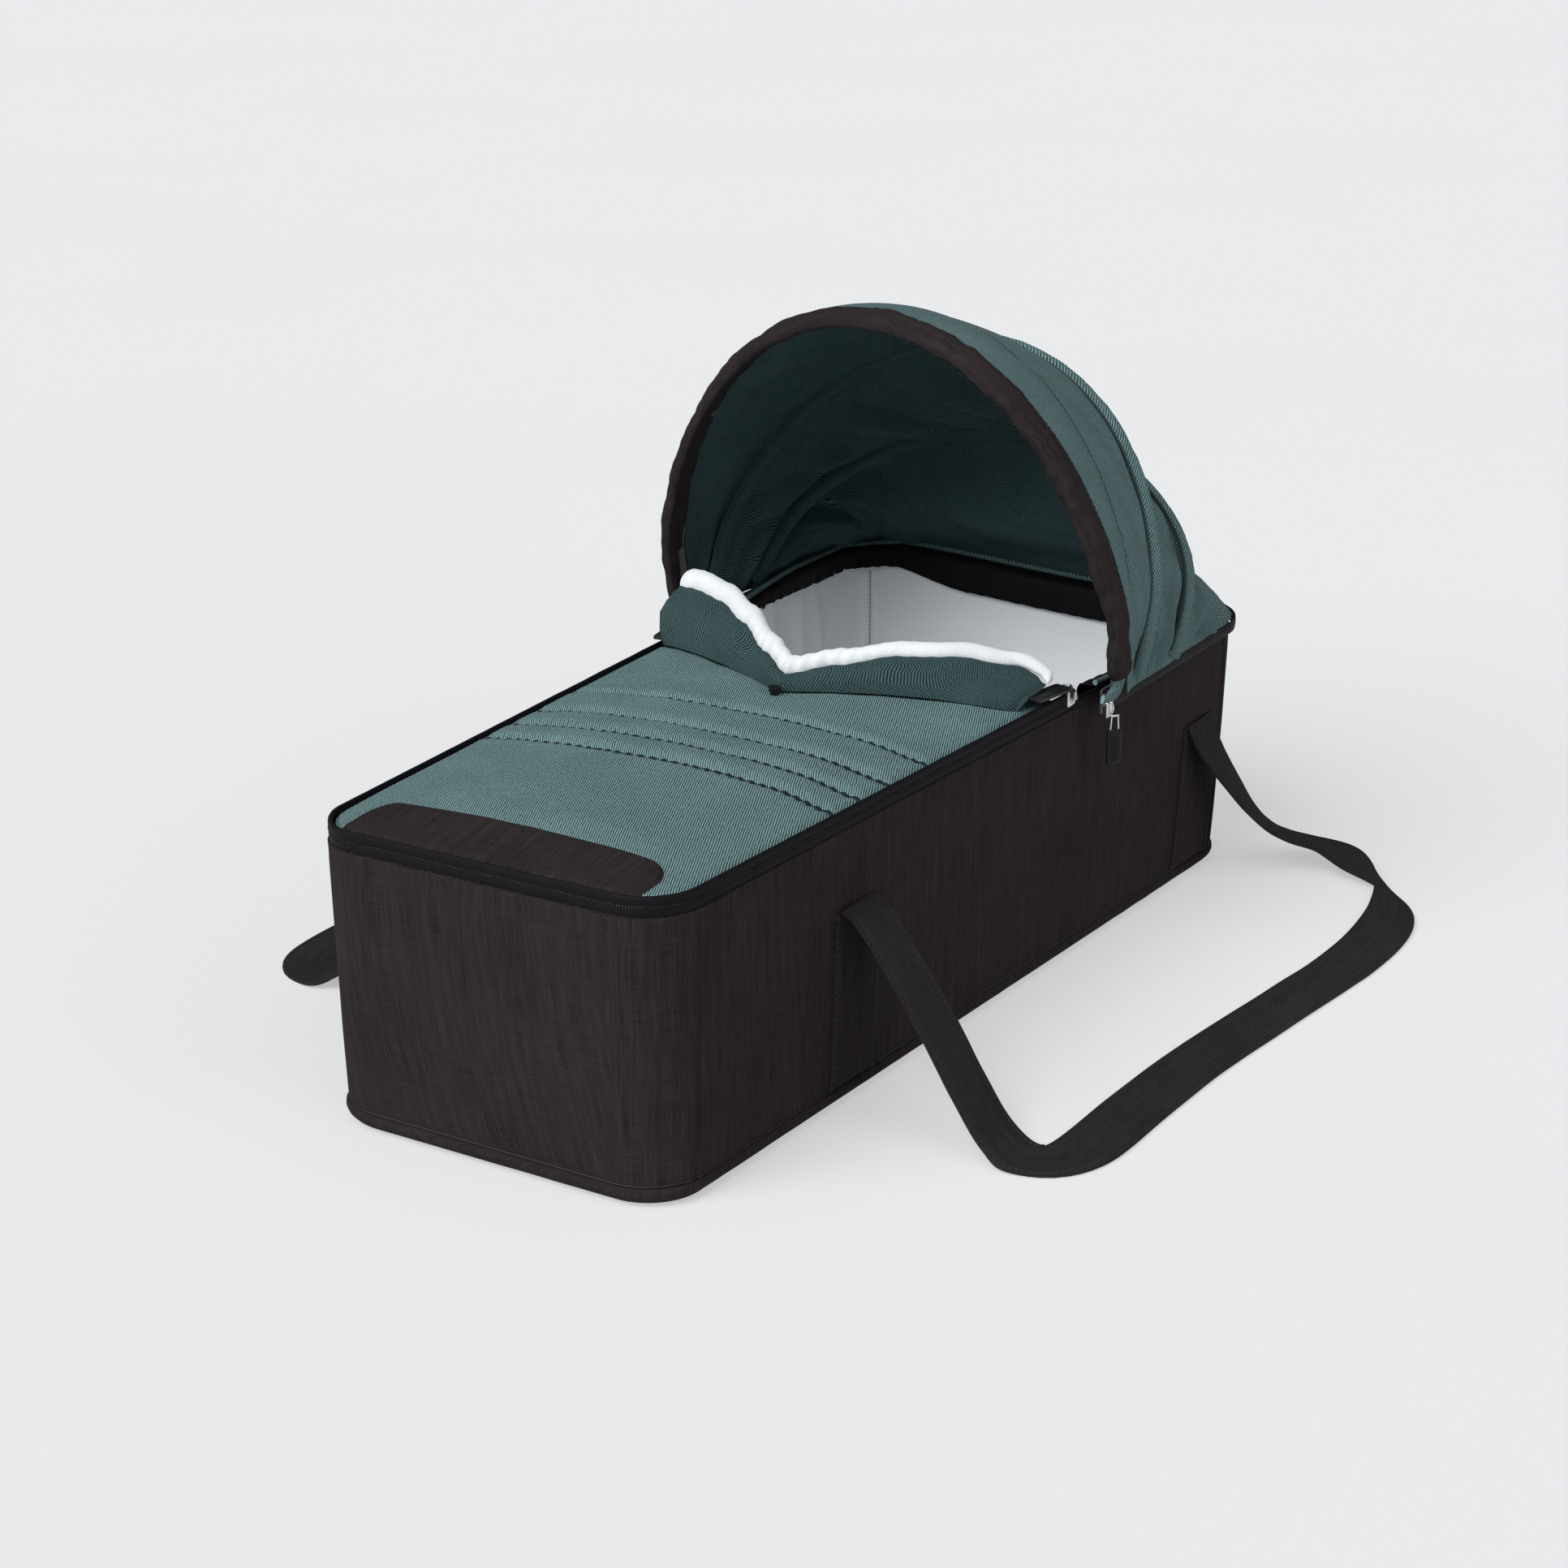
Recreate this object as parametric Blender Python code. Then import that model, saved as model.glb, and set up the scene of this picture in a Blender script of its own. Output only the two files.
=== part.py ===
"""Soft carrycot with a zip-on apron, a folding canopy and two strap handles.

The cot lies along X with its head at +X, and its base rests on the floor at z = 0.
The plan widens from foot to head. Every size is in metres.
"""

from math import copysign, cos, pi, radians, sin

import bmesh
import bpy
from mathutils import Matrix, Vector

MM = 0.001
RIGHT = -1
LEFT = 1
FOOT = -1
HEAD = 1

# Tub
body_length = 780 * MM
foot_width = 270 * MM
head_width = 353 * MM
wall_height = 194 * MM
foot_corner_radius = 40 * MM
head_corner_radius = 46 * MM
base_length_inset = 5 * MM
base_width_inset = 4 * MM
base_edge_radius = 10 * MM
canopy_flare = 5.85 * MM
touch_gap = 0.3 * MM

# Wall layers
cover_thickness = 2 * MM
board_thickness = 5 * MM
board_end_margin = 6 * MM
board_clearance = 0.75 * MM
base_board_thickness = 6 * MM
lining_thickness = 2 * MM
hem_height = 13 * MM
hem_thickness = 1.2 * MM
hem_floor_clearance = 1 * MM

# Mattress
mattress_thickness = 30 * MM
mattress_clearance = 4 * MM
mattress_crown = 6 * MM
mattress_tuft_depth = 4 * MM
mattress_tuft_pitch = 95 * MM
mattress_drawn_share = 0.25
mattress_ring_shares = (0.86, 0.66, 0.42, 0.2)
mattress_edge_shares = ((1.0, 0.0), (0.0, 0.15), (0.0, 0.8), (1.0, 1.0))
wall_row_shares = (0.3, 0.65)
round_edge_turns = (0.0, pi / 6, pi / 3, pi / 2)

# Zip tapes round the rim
tape_height = 6.5 * MM
tape_thickness = 1.6 * MM
tape_inset = 1.5 * MM

# Apron
apron_edge_thickness = 4.5 * MM
apron_crown = 13 * MM
apron_underside_crown = 5 * MM
quilt_line_shares = (-0.24872, -0.20769, -0.16410, -0.10256)
quilt_line_places = tuple(share * body_length for share in quilt_line_shares)
quilt_depth = 3.5 * MM
quilt_half_width = 7.7 * MM
apron_crown_power = 2.4
apron_foot_shares = (0.03, 0.12, 0.3, 0.55, 0.8)
apron_start_shares = (0.0, 0.2, 0.5, 0.78)
crease_station_shares = (0.2, 0.5, 0.8, 1.0)
foot_panel_shares = (0.0, 0.1, 0.28, 0.5, 0.72, 0.9, 1.0)
apron_steps = 14
foot_panel_end = -0.43333 * body_length
foot_panel_thickness = 2.2 * MM
foot_panel_margin = 3 * MM
foot_panel_clearance = 0.6 * MM
foot_panel_end_margin = 26 * MM
foot_panel_rounding = 22 * MM
crease_centre = -0.04359 * body_length
crease_side = 0.05897 * body_length

# Wind flap
flap_thickness = 8 * MM
flap_centre_height = 9 * MM
flap_ear_height = 40 * MM
flap_lean = radians(42)
flap_side_margin = 16 * MM
flap_right_end_height = 14 * MM
flap_left_end_height = 38 * MM
flap_ear_start_share = 0.59
flap_ear_end_share = 0.62
flap_root_share = 1.55
flap_steps = 22
flap_section_shares = (
    (0.0, -0.35), (0.0, 0.35), (0.25, 0.5), (0.75, 0.5), (1.0, 0.3), (1.0, -0.3), (0.75, -0.5), (0.25, -0.5),
)
roll_thickness = 13 * MM
roll_height = 14 * MM
snap_radius = 6.5 * MM
snap_cap_height = 3 * MM
snap_socket_height = 2 * MM
snap_socket_share = 0.8

# Canopy bows
pivot_rise = 8 * MM
pivot_height = wall_height + pivot_rise
bow_spread = 8 * MM
bow_spread_height = 75 * MM
bow_thickness = 1.6 * MM
bow_width = 8 * MM
bow_layer_gap = 0.4 * MM
front_bow_place = 0.16795 * body_length
front_bow_reach = 262 * MM
front_bow_angle = radians(99)
middle_bow_place = 0.19872 * body_length
middle_bow_reach = 234 * MM
middle_bow_angle = radians(65)
rear_bow_share = 0.28077
rear_bow_place = rear_bow_share * body_length
canopy_side_margin = 7.75 * MM
width_at_rear_bow = foot_width + (head_width - foot_width) * (0.5 + rear_bow_share)
bow_half_width = width_at_rear_bow / 2 + canopy_flare + canopy_side_margin
rear_bow_reach = 170 * MM
rear_bow_angle = radians(49)
bow_roundness = 2.04
rim_roundness = 6.0
rail_thickness = 1.5 * MM
rail_depth = 14 * MM
rail_margin = 8 * MM
pin_radius = 1.6 * MM
pin_clearance = 0.4 * MM

# Canopy cloth
cloth_thickness = 1.6 * MM
seam_lift = 2.4 * MM
cloth_sag = 6 * MM
rear_cloth_sag = 17 * MM
trim_front = 18 * MM
trim_back = 6 * MM
trim_thickness = 9 * MM
trim_start = 15 * MM
trim_section_shares = (
    (-1.0, 0.0), (-1.0, 0.45), (-0.8, 0.85), (-0.35, 1.0), (0.4, 1.0), (0.85, 0.8), (1.0, 0.4), (1.0, 0.0),
)
narrow_panel_shares = (0.0, 0.1, 0.5, 0.9, 1.0)
wide_panel_shares = (0.0, 0.08, 0.3, 0.5, 0.7, 0.92, 1.0)
sag_power = 0.8
canopy_base_overhang = 6 * MM
canopy_base_start = 0.31410 * body_length
canopy_tape_height = 11 * MM
valance_width = 15 * MM
valance_drop = 15 * MM
valance_thickness = 1.2 * MM
valance_ripple = 1.2 * MM
valance_ripples = 26

# Sliders and pulls
slider_length = 11 * MM
slider_lip = 1.6 * MM
slider_grip = 3 * MM
slider_clearance = 0.5 * MM
right_slider_place = 0.12949 * body_length
left_slider_place = 0.11282 * body_length
pull_length = 44 * MM
pull_width = 15 * MM
pull_thickness = 2.2 * MM
pull_inward_share = 0.15
canopy_slider_place = 0.14872 * body_length
canopy_slider_width = 9 * MM
canopy_pull_length = 36 * MM
canopy_pull_width = 10 * MM
canopy_pull_ribs = 9
canopy_pull_rib_height = 0.6 * MM
pull_end_share = 0.72
pull_steps = 8

# Strap handles
strap_width = 44 * MM
strap_thickness = 2.4 * MM
foot_slit_place = -0.23077 * body_length
head_slit_place = 0.38718 * body_length
foot_slit_height = 0.72680 * wall_height
head_slit_height = 0.68557 * wall_height
strap_root_clearance = 2.4 * MM
strap_reach = 172 * MM
channel_thickness = 1.4 * MM
channel_margin = 4 * MM

# The right strap from its foot slit to its head slit: place along the span between
# the slits, place outwards by the reach, height by the slit's height, and the
# direction of the strap's width
strap_route_shares = (
    (0.000, 0.000, 1.000, (1.0, 0.0, 0.0)),
    (-0.006, 0.078, 0.957, (1.0, 0.0, 0.0)),
    (-0.012, 0.200, 0.794, (1.0, 0.0, 0.0)),
    (-0.021, 0.381, 0.518, (1.0, 0.0, 0.0)),
    (-0.027, 0.521, 0.277, (1.0, 0.0, 0.0)),
    (-0.036, 0.666, 0.075, (1.0, 0.0, 0.0)),
    (-0.046, 0.806, 0.014, (1.0, 0.0, 0.0)),
    (0.002, 0.939, 0.014, (0.0, 1.0, 0.0)),
    (0.166, 0.936, 0.014, (0.0, 1.0, 0.0)),
    (0.332, 0.933, 0.014, (0.0, 1.0, 0.0)),
    (0.506, 0.960, 0.014, (0.0, 1.0, 0.0)),
    (0.664, 0.990, 0.014, (0.0, 1.0, 0.0)),
    (0.788, 1.010, 0.014, (0.0, 1.0, 0.0)),
    (0.913, 0.995, 0.014, (0.05, 1.0, 0.0)),
    (1.017, 0.940, 0.020, (0.30, 0.95, 0.0)),
    (1.095, 0.840, 0.030, (0.60, 0.80, 0.05)),
    (1.148, 0.700, 0.050, (0.88, 0.46, 0.10)),
    (1.176, 0.530, 0.080, (0.97, 0.20, 0.08)),
    (1.172, 0.375, 0.130, (0.88, 0.45, -0.08)),
    (1.128, 0.262, 0.220, (0.87, 0.46, -0.10)),
    (1.085, 0.190, 0.370, (0.92, 0.38, -0.08)),
    (1.040, 0.120, 0.610, (0.97, 0.22, -0.03)),
    (1.010, 0.050, 0.830, (1.0, 0.08, 0.0)),
    (1.000, 0.000, 1.000, (1.0, 0.0, 0.0)),
)

# Mesh fineness
corner_steps = 6
side_shares = (0.2, 0.4, 0.54, 0.6, 0.66, 0.72, 0.8, 0.9)
bow_steps = 28
round_steps = 12


def clear_scene():
    """Remove every object from the scene."""
    for item in list(bpy.data.objects):
        bpy.data.objects.remove(item, do_unlink=True)


def material(name, colour, roughness, metallic=0.0):
    """Return a Principled material with one colour."""
    made = bpy.data.materials.new(name)
    made.use_nodes = True
    shader = made.node_tree.nodes["Principled BSDF"]
    shader.inputs["Base Color"].default_value = (*colour, 1.0)
    shader.inputs["Roughness"].default_value = roughness
    shader.inputs["Metallic"].default_value = metallic
    return made


def smooth(share):
    """Ease a share from 0 to 1."""
    share = min(max(share, 0.0), 1.0)
    return share * share * (3 - 2 * share)


def mix(start, end, share):
    """Blend two values."""
    return start + (end - start) * share


def solid(name, loops, finish, parent=None, wrap=False):
    """Build one closed body from loops of points.

    Each loop has the same number of points. The ends are capped, or joined to each
    other where wrap is set. The object's origin is its parent's.
    """
    mesh = bpy.data.meshes.new(name)
    work = bmesh.new()
    rings = [[work.verts.new(point) for point in loop] for loop in loops]
    pairs = list(zip(rings, rings[1:]))
    if wrap:
        pairs.append((rings[-1], rings[0]))
    else:
        work.faces.new(rings[0])
        work.faces.new(rings[-1])
    for near, far in pairs:
        count = len(near)
        for index in range(count):
            after = (index + 1) % count
            work.faces.new((near[index], near[after], far[after], far[index]))
    bmesh.ops.recalc_face_normals(work, faces=work.faces)
    work.to_mesh(mesh)
    work.free()
    return place(name, mesh, finish, parent)


def place(name, mesh, finish, parent):
    """Link a mesh given in world places under its parent."""
    item = bpy.data.objects.new(name, mesh)
    bpy.context.collection.objects.link(item)
    mesh.materials.append(finish)
    mesh.shade_smooth()
    mesh.set_sharp_from_angle(angle=radians(35))
    if parent is not None:
        mesh.transform(Matrix.Translation(-parent.location))
        item.parent = parent
    return item


def axis_empty(name, location):
    """Make an empty that stands on a joint's axis."""
    item = bpy.data.objects.new(name, None)
    item.location = location
    bpy.context.collection.objects.link(item)
    return item


def half_width(x, level):
    """Half of the outer width at a place along the cot, from base (0) to rim (1)."""
    share = x / body_length + 0.5
    straight = mix(foot_width, head_width, share) / 2
    rise = smooth((x - right_slider_place) / (rear_bow_place - right_slider_place))
    fall = smooth((x - rear_bow_place) / (body_length / 2 - rear_bow_place))
    return straight + level * canopy_flare * (rise - fall) - (1 - level) * base_width_inset


def corner_centre(end, side, outset, level):
    """Centre and radius of a plan corner."""
    radius = foot_corner_radius if end == FOOT else head_corner_radius
    reach = body_length / 2 - (1 - level) * base_length_inset
    x = end * (reach - radius)
    y = side * (half_width(x, level) - radius)
    return x, y, radius + outset


def corner(end, side, outset, level):
    """Points of a plan corner, in the order of a counter-clockwise plan."""
    x, y, radius = corner_centre(end, side, outset, level)
    start = {(FOOT, RIGHT): pi, (HEAD, RIGHT): 1.5 * pi, (HEAD, LEFT): 0.0, (FOOT, LEFT): pi / 2}
    turns = [start[(end, side)] + pi / 2 * step / corner_steps for step in range(corner_steps + 1)]
    return [(x + radius * cos(turn), y + radius * sin(turn)) for turn in turns]


def side_point(x, side, outset, level):
    """A point of a long side."""
    return x, side * (half_width(x, level) + outset)


def side_line(x_from, x_to, side, outset, level, shares=side_shares):
    """Points along a long side between two places, ends left out."""
    return [side_point(mix(x_from, x_to, share), side, outset, level) for share in shares]


def straight_ends(side, level):
    """Where a long side meets its two corners."""
    foot = corner_centre(FOOT, side, 0, level)[0]
    head = corner_centre(HEAD, side, 0, level)[0]
    return foot, head


def plan(outset, level, z):
    """The whole plan outline at a height."""
    foot, head = straight_ends(RIGHT, level)
    points = corner(FOOT, RIGHT, outset, level)
    points += side_line(foot, head, RIGHT, outset, level)
    points += corner(HEAD, RIGHT, outset, level) + corner(HEAD, LEFT, outset, level)
    points += reversed(side_line(foot, head, LEFT, outset, level))
    points += corner(FOOT, LEFT, outset, level)
    return [Vector((x, y, z)) for x, y in points]


def foot_path(right_end, left_end, outset):
    """Rim path from a place on the right side round the foot to the left side."""
    foot = straight_ends(RIGHT, 1)[0]
    points = [side_point(right_end, RIGHT, outset, 1)]
    points += reversed(side_line(foot, right_end, RIGHT, outset, 1))
    points += reversed(corner(FOOT, RIGHT, outset, 1))
    points += reversed(corner(FOOT, LEFT, outset, 1))
    points += side_line(foot, left_end, LEFT, outset, 1)
    return points + [side_point(left_end, LEFT, outset, 1)]


def head_path(start, outset):
    """Rim path from a place on the right side round the head to the left side."""
    head = straight_ends(RIGHT, 1)[1]
    points = [side_point(start, RIGHT, outset, 1)]
    points += side_line(start, head, RIGHT, outset, 1)
    points += corner(HEAD, RIGHT, outset, 1) + corner(HEAD, LEFT, outset, 1)
    points += reversed(side_line(start, head, LEFT, outset, 1))
    return points + [side_point(start, LEFT, outset, 1)]


def band(outer, inner, low, high):
    """Sections of an upright band between two paths."""
    return [
        [Vector((*out, low)), Vector((*out, high)), Vector((*into, high)), Vector((*into, low))]
        for out, into in zip(outer, inner)
    ]


def disc(centre, direction, radius, length, steps=round_steps):
    """Two loops of a straight cylinder."""
    turn = direction.to_track_quat("Z", "Y")
    ring = [Vector((radius * cos(2 * pi * k / steps), radius * sin(2 * pi * k / steps), 0))
            for k in range(steps)]
    return [[centre + turn @ point + direction * offset for point in ring] for offset in (0, length)]


def level_at(z):
    """Share of the wall's height at which z lies."""
    return z / wall_height


# Tub: cover, hem, boards, lining and mattress


def tub(name, outset, bottom, top, thickness, floor_thickness, edge_radius, finish):
    """An open tub that follows the plan, as one closed body."""
    loops = []
    for turn in round_edge_turns:
        inset = edge_radius * (1 - sin(turn))
        z = bottom + edge_radius * (1 - cos(turn))
        loops.append(plan(outset - inset, level_at(z), z))
    rows = [wall_height * share for share in wall_row_shares]
    loops += [plan(outset, level_at(z), z) for z in rows]
    loops.append(plan(outset, 1, top))
    loops.append(plan(outset - thickness, 1, top))
    loops += [plan(outset - thickness, level_at(z), z) for z in reversed(rows)]
    low = bottom + floor_thickness
    loops.append(plan(outset - thickness, level_at(low + edge_radius), low + edge_radius))
    loops.append(plan(outset - thickness - edge_radius, level_at(low), low))
    return solid(name, loops, finish)


def build_hem(finish):
    """A bound hem round the foot of the walls."""
    loops = []
    inner = touch_gap
    outer = inner + hem_thickness
    for outset, z in (
        (inner, base_edge_radius + hem_floor_clearance),
        (outer, base_edge_radius + hem_floor_clearance),
        (outer, base_edge_radius + hem_height),
        (inner, base_edge_radius + hem_height),
    ):
        loops.append(plan(outset, level_at(z), z))
    return solid("base_hem", loops, finish, wrap=True)


def build_base_board(finish):
    """The stiff board that lies on the cover's floor."""
    low = cover_thickness + touch_gap
    inset = cover_thickness + base_edge_radius + touch_gap
    loops = [plan(-inset, level_at(z), z) for z in (low, low + base_board_thickness)]
    return solid("base_board", loops, finish)


def board_heights():
    """Lowest and highest edge of the wall boards."""
    low = cover_thickness + base_edge_radius + touch_gap
    return low, wall_height - board_end_margin


def build_side_board(side, finish):
    """The stiff board in a long wall."""
    low, high = board_heights()
    foot, head = straight_ends(side, 0)
    near = cover_thickness + board_clearance
    far = near + board_thickness
    heights = [low, *(wall_height * share for share in wall_row_shares), high]
    profile = [(near, z) for z in heights] + [(far, z) for z in reversed(heights)]
    end_share = board_end_margin / (head - foot)
    loops = []
    for share in (end_share, *side_shares, 1 - end_share):
        x = mix(foot, head, share)
        loops.append([Vector((x, side * (half_width(x, level_at(z)) - depth), z)) for depth, z in profile])
    name = "right_side_board" if side == RIGHT else "left_side_board"
    return solid(name, loops, finish)


def build_end_board(end, finish):
    """The stiff board in the foot or head wall."""
    low, high = board_heights()
    near = cover_thickness + board_clearance
    far = near + board_thickness
    loops = []
    for side in (RIGHT, LEFT):
        loop = []
        for depth, z in ((near, low), (near, high), (far, high), (far, low)):
            x, y, radius = corner_centre(end, side, 0, level_at(z))
            loop.append(Vector((x + end * (radius - depth), y - side * board_end_margin, z)))
        loops.append(loop)
    return solid("foot_board" if end == FOOT else "head_board", loops, finish)


def lining_outset():
    """How far the lining's outer face lies inside the cover's."""
    return -(cover_thickness + board_thickness + 2 * board_clearance)


def build_lining(finish):
    """The lining, an inner tub over the boards."""
    bottom = cover_thickness + base_board_thickness + 2 * touch_gap
    return tub("lining", lining_outset(), bottom, wall_height - touch_gap, lining_thickness,
               lining_thickness, base_edge_radius, finish)


def build_mattress(finish, parent):
    """A crowned pad with two rows of shallow sewn tufts, drawn in round its edge."""
    floor = cover_thickness + base_board_thickness + lining_thickness + 3 * touch_gap
    inset = lining_outset() - lining_thickness - mattress_clearance
    drawn = mattress_thickness * mattress_drawn_share
    loops = []
    for drawn_share, share in mattress_edge_shares:
        z = floor + mattress_thickness * share
        loops.append(plan(inset - base_edge_radius - drawn * drawn_share, level_at(floor), z))
    base_ring = loops[-1]
    for share in mattress_ring_shares:
        lift = mattress_crown * (1 - share * share)
        ring = []
        for point in base_ring:
            row = cos(pi * point.x * share / mattress_tuft_pitch) ** 2
            dip = mattress_tuft_depth * row * (1 - abs(2 * share - 1)) * smooth(share * 2)
            ring.append(Vector((point.x * share, point.y * share, point.z + lift - dip)))
        loops.append(ring)
    return solid("mattress", loops, finish, parent)


def build_channel(side, x, top, name, finish):
    """The sewn strip down the wall below a strap's slit."""
    low = base_edge_radius + hem_height + touch_gap
    high = top - strap_thickness * 2
    heights = [mix(low, high, share) for share in (0.0, 0.5, 1.0)]
    near = touch_gap * 2
    profile = [(near, z) for z in heights]
    profile += [(near + channel_thickness, z) for z in reversed(heights)]
    loops = []
    for edge in (-1, 0, 1):
        place_x = x + edge * (strap_width / 2 + channel_margin)
        loops.append([Vector((place_x, side * (half_width(place_x, level_at(z)) + depth), z))
                      for depth, z in profile])
    return solid(name, loops, finish)


# Rim: zip tapes and valance


def tape_outsets():
    """Outer and inner outset of the rim's zip tapes."""
    return -tape_inset, -tape_inset - tape_thickness


def body_tape_top():
    """Height of the top edge of the tape on the tub."""
    return wall_height + touch_gap + tape_height


def build_body_tape(finish):
    """The tub's own half of the zip, standing on the rim all round."""
    outer, inner = tape_outsets()
    low = wall_height + touch_gap
    loops = [plan(outset, 1, z) for outset, z in
             ((outer, low), (outer, body_tape_top()), (inner, body_tape_top()), (inner, low))]
    return solid("body_zip_tape", loops, finish, wrap=True)


def canopy_base(start, outset):
    """Plan path of the canopy's lower edge, from the right front corner to the left."""
    half = bow_half_width + touch_gap * 2 + outset
    end = body_length / 2 + canopy_base_overhang + outset
    radius = head_corner_radius + canopy_base_overhang + outset
    points = []
    straight = [mix(start, end - radius, share) for share in (0.0, 0.25, 0.5, 0.75)]
    points += [(x, -half) for x in straight]
    for side, begin in ((RIGHT, 1.5 * pi), (LEFT, 0.0)):
        for step in range(corner_steps + 1):
            turn = begin + pi / 2 * step / corner_steps
            points.append((end - radius + radius * cos(turn), side * (half - radius) + radius * sin(turn)))
    return points + [(x, half) for x in reversed(straight)]


def build_canopy_tape(finish):
    """The canopy's zip, round the outside of the head end."""
    start = front_bow_place - trim_front
    high = pivot_height - touch_gap
    outer = canopy_base(start, cloth_thickness)
    inner = canopy_base(start, 0)
    return solid("canopy_zip_tape", band(outer, inner, high - canopy_tape_height, high), finish)


def build_valance(finish):
    """A gathered elastic band that covers the rim and hangs inside it at the head."""
    start = front_bow_place + trim_back
    low = body_tape_top() + touch_gap
    outer = -tape_inset - tape_thickness
    paths = {share: head_path(start, -share) for share in
             (-outer, -outer + valance_width, -outer + valance_width - valance_thickness)}
    top = paths[-outer]
    edge = paths[-outer + valance_width]
    back = paths[-outer + valance_width - valance_thickness]
    loops = []
    for index, (out, into, behind) in enumerate(zip(top, edge, back)):
        ripple = valance_ripple * (1 + sin(2 * pi * valance_ripples * index / len(top)))
        droop = low - valance_drop - ripple
        loops.append([
            Vector((*out, low)), Vector((*out, low + valance_thickness)),
            Vector((*into, low + valance_thickness)), Vector((*into, droop)),
            Vector((*behind, droop)), Vector((*behind, low)),
        ])
    return solid("head_valance", loops, finish)


# Apron: quilted pad, foot panel, tape and wind flap


def crease(y):
    """Place along the cot of the fold between the apron and its wind flap."""
    share = abs(y) / half_width(crease_side, 1)
    return mix(crease_centre, crease_side, min(share, 1.0))


def apron_low():
    """Height of the apron's underside at its edge."""
    return body_tape_top() + touch_gap


def apron_crown_share(x, y):
    """How far a place on the apron has risen towards its crown."""
    across = abs(y) / half_width(x, 1)
    along = min((x + body_length / 2) / (foot_corner_radius * 2), 1.0)
    return (1 - across ** apron_crown_power) * smooth(along)


def quilt_dip(x):
    """Depth of the sewn channels at a place along the apron."""
    near = min(abs(x - line) for line in quilt_line_places)
    return quilt_depth * max(0.0, 1 - near / quilt_half_width)


def apron_top(x, y):
    """Height of the apron's upper face."""
    share = apron_crown_share(x, y)
    dip = quilt_dip(x) * smooth(share * 3)
    return apron_low() + apron_edge_thickness + apron_crown * share - dip


def apron_bottom(x, y):
    """Height of the apron's lower face."""
    return apron_low() + apron_underside_crown * apron_crown_share(x, y)


def apron_margin():
    """How far the pad stays inside the cover's outer face."""
    return tape_inset + tape_thickness + touch_gap


def foot_round(x):
    """How much the pad narrows at the foot's rounded corners."""
    radius = foot_corner_radius
    into = x + body_length / 2 - apron_margin()
    if into >= radius:
        return 0.0
    return radius - (radius ** 2 - (radius - into) ** 2) ** 0.5


def pad_half(x):
    """Half of the apron pad's width."""
    return half_width(x, 1) - apron_margin() - foot_round(x)


def foot_panel_half(x):
    """Half of the foot panel's width, rounded off at its two head corners."""
    middle = (foot_panel_start() + foot_panel_end) / 2
    reach = foot_panel_end - middle
    share = min(max((x - middle) / reach, 0.0), 1.0)
    drawn_in = foot_panel_rounding * (1 - (1 - share ** 2) ** 0.5)
    straight = half_width(foot_panel_end, 1) - foot_panel_end_margin
    return min(straight - drawn_in, pad_half(x) - foot_panel_margin / 2)


def foot_panel_start():
    """Where the foot panel starts along the cot."""
    return -body_length / 2 + apron_margin() + foot_panel_margin


def pad_sections(stations, top, bottom, half, steps=apron_steps):
    """Closed sections across a pad, one for each station along it.

    A station is a function of the share across that gives the place along the cot.
    """
    loops = []
    for station in stations:
        upper = []
        lower = []
        for step in range(steps + 1):
            across = 2 * step / steps - 1
            x = station(across)
            y = across * half(x)
            upper.append(Vector((x, y, top(x, y))))
            lower.append(Vector((x, y, bottom(x, y))))
        loops.append(upper + lower[::-1])
    return loops


def fixed_station(x):
    """A station square across the cot."""
    return lambda across: x


def crease_station(share):
    """A station between the first square line past the quilting and the crease."""
    start = quilt_line_places[-1] + quilt_half_width + quilt_depth
    return lambda across: mix(start, crease(across * half_width(0, 1)), share)


def apron_stations():
    """Stations from the foot to the crease, closer at the sewn lines."""
    first = -body_length / 2 + apron_margin()
    places = [mix(first, foot_panel_end, share) for share in apron_foot_shares]
    places += [mix(foot_panel_end, quilt_line_places[0], share) for share in apron_start_shares]
    for line in quilt_line_places:
        places += [line - quilt_half_width, line, line + quilt_half_width]
    stations = [fixed_station(x) for x in sorted(places)]
    return stations + [crease_station(share) for share in crease_station_shares]


def build_apron_pad(finish, parent):
    """The quilted teal pad, which reaches from the foot to the crease."""
    sections = pad_sections(apron_stations(), apron_top, apron_bottom, pad_half)
    return solid("apron_pad", sections, finish, parent)


def build_foot_panel(finish, parent):
    """The dark panel sewn on over the apron's foot."""
    places = [mix(foot_panel_start(), foot_panel_end, share) for share in foot_panel_shares]

    def bottom(x, y):
        return apron_top(x, y) + foot_panel_clearance

    def top(x, y):
        return bottom(x, y) + foot_panel_thickness

    stations = [fixed_station(x) for x in places]
    return solid("apron_foot_panel", pad_sections(stations, top, bottom, foot_panel_half), finish, parent)


def build_apron_tape(finish, parent):
    """The apron's half of the zip, which ends under the two sliders."""
    outer_outset, inner_outset = tape_outsets()
    low = body_tape_top() + touch_gap
    outer = foot_path(right_slider_place, left_slider_place, outer_outset)
    inner = foot_path(right_slider_place, left_slider_place, inner_outset)
    return solid("apron_zip_tape", band(outer, inner, low, low + tape_height), finish, parent)


def flap_frame(y):
    """Foot of the wind flap at y with its height there."""
    half = pad_half(crease_side) - flap_side_margin
    share = abs(y) / half
    ear = mix(flap_centre_height, flap_ear_height, smooth(share / flap_ear_start_share))
    fall = smooth((share - flap_ear_end_share) / (1 - flap_ear_end_share))
    end_height = flap_right_end_height if y < 0 else flap_left_end_height
    height = mix(ear, end_height, fall)
    x = crease(y) + flap_thickness * flap_root_share
    root = Vector((x, y, apron_top(x, y) - apron_crown / 2 + flap_thickness))
    return root, height


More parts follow.
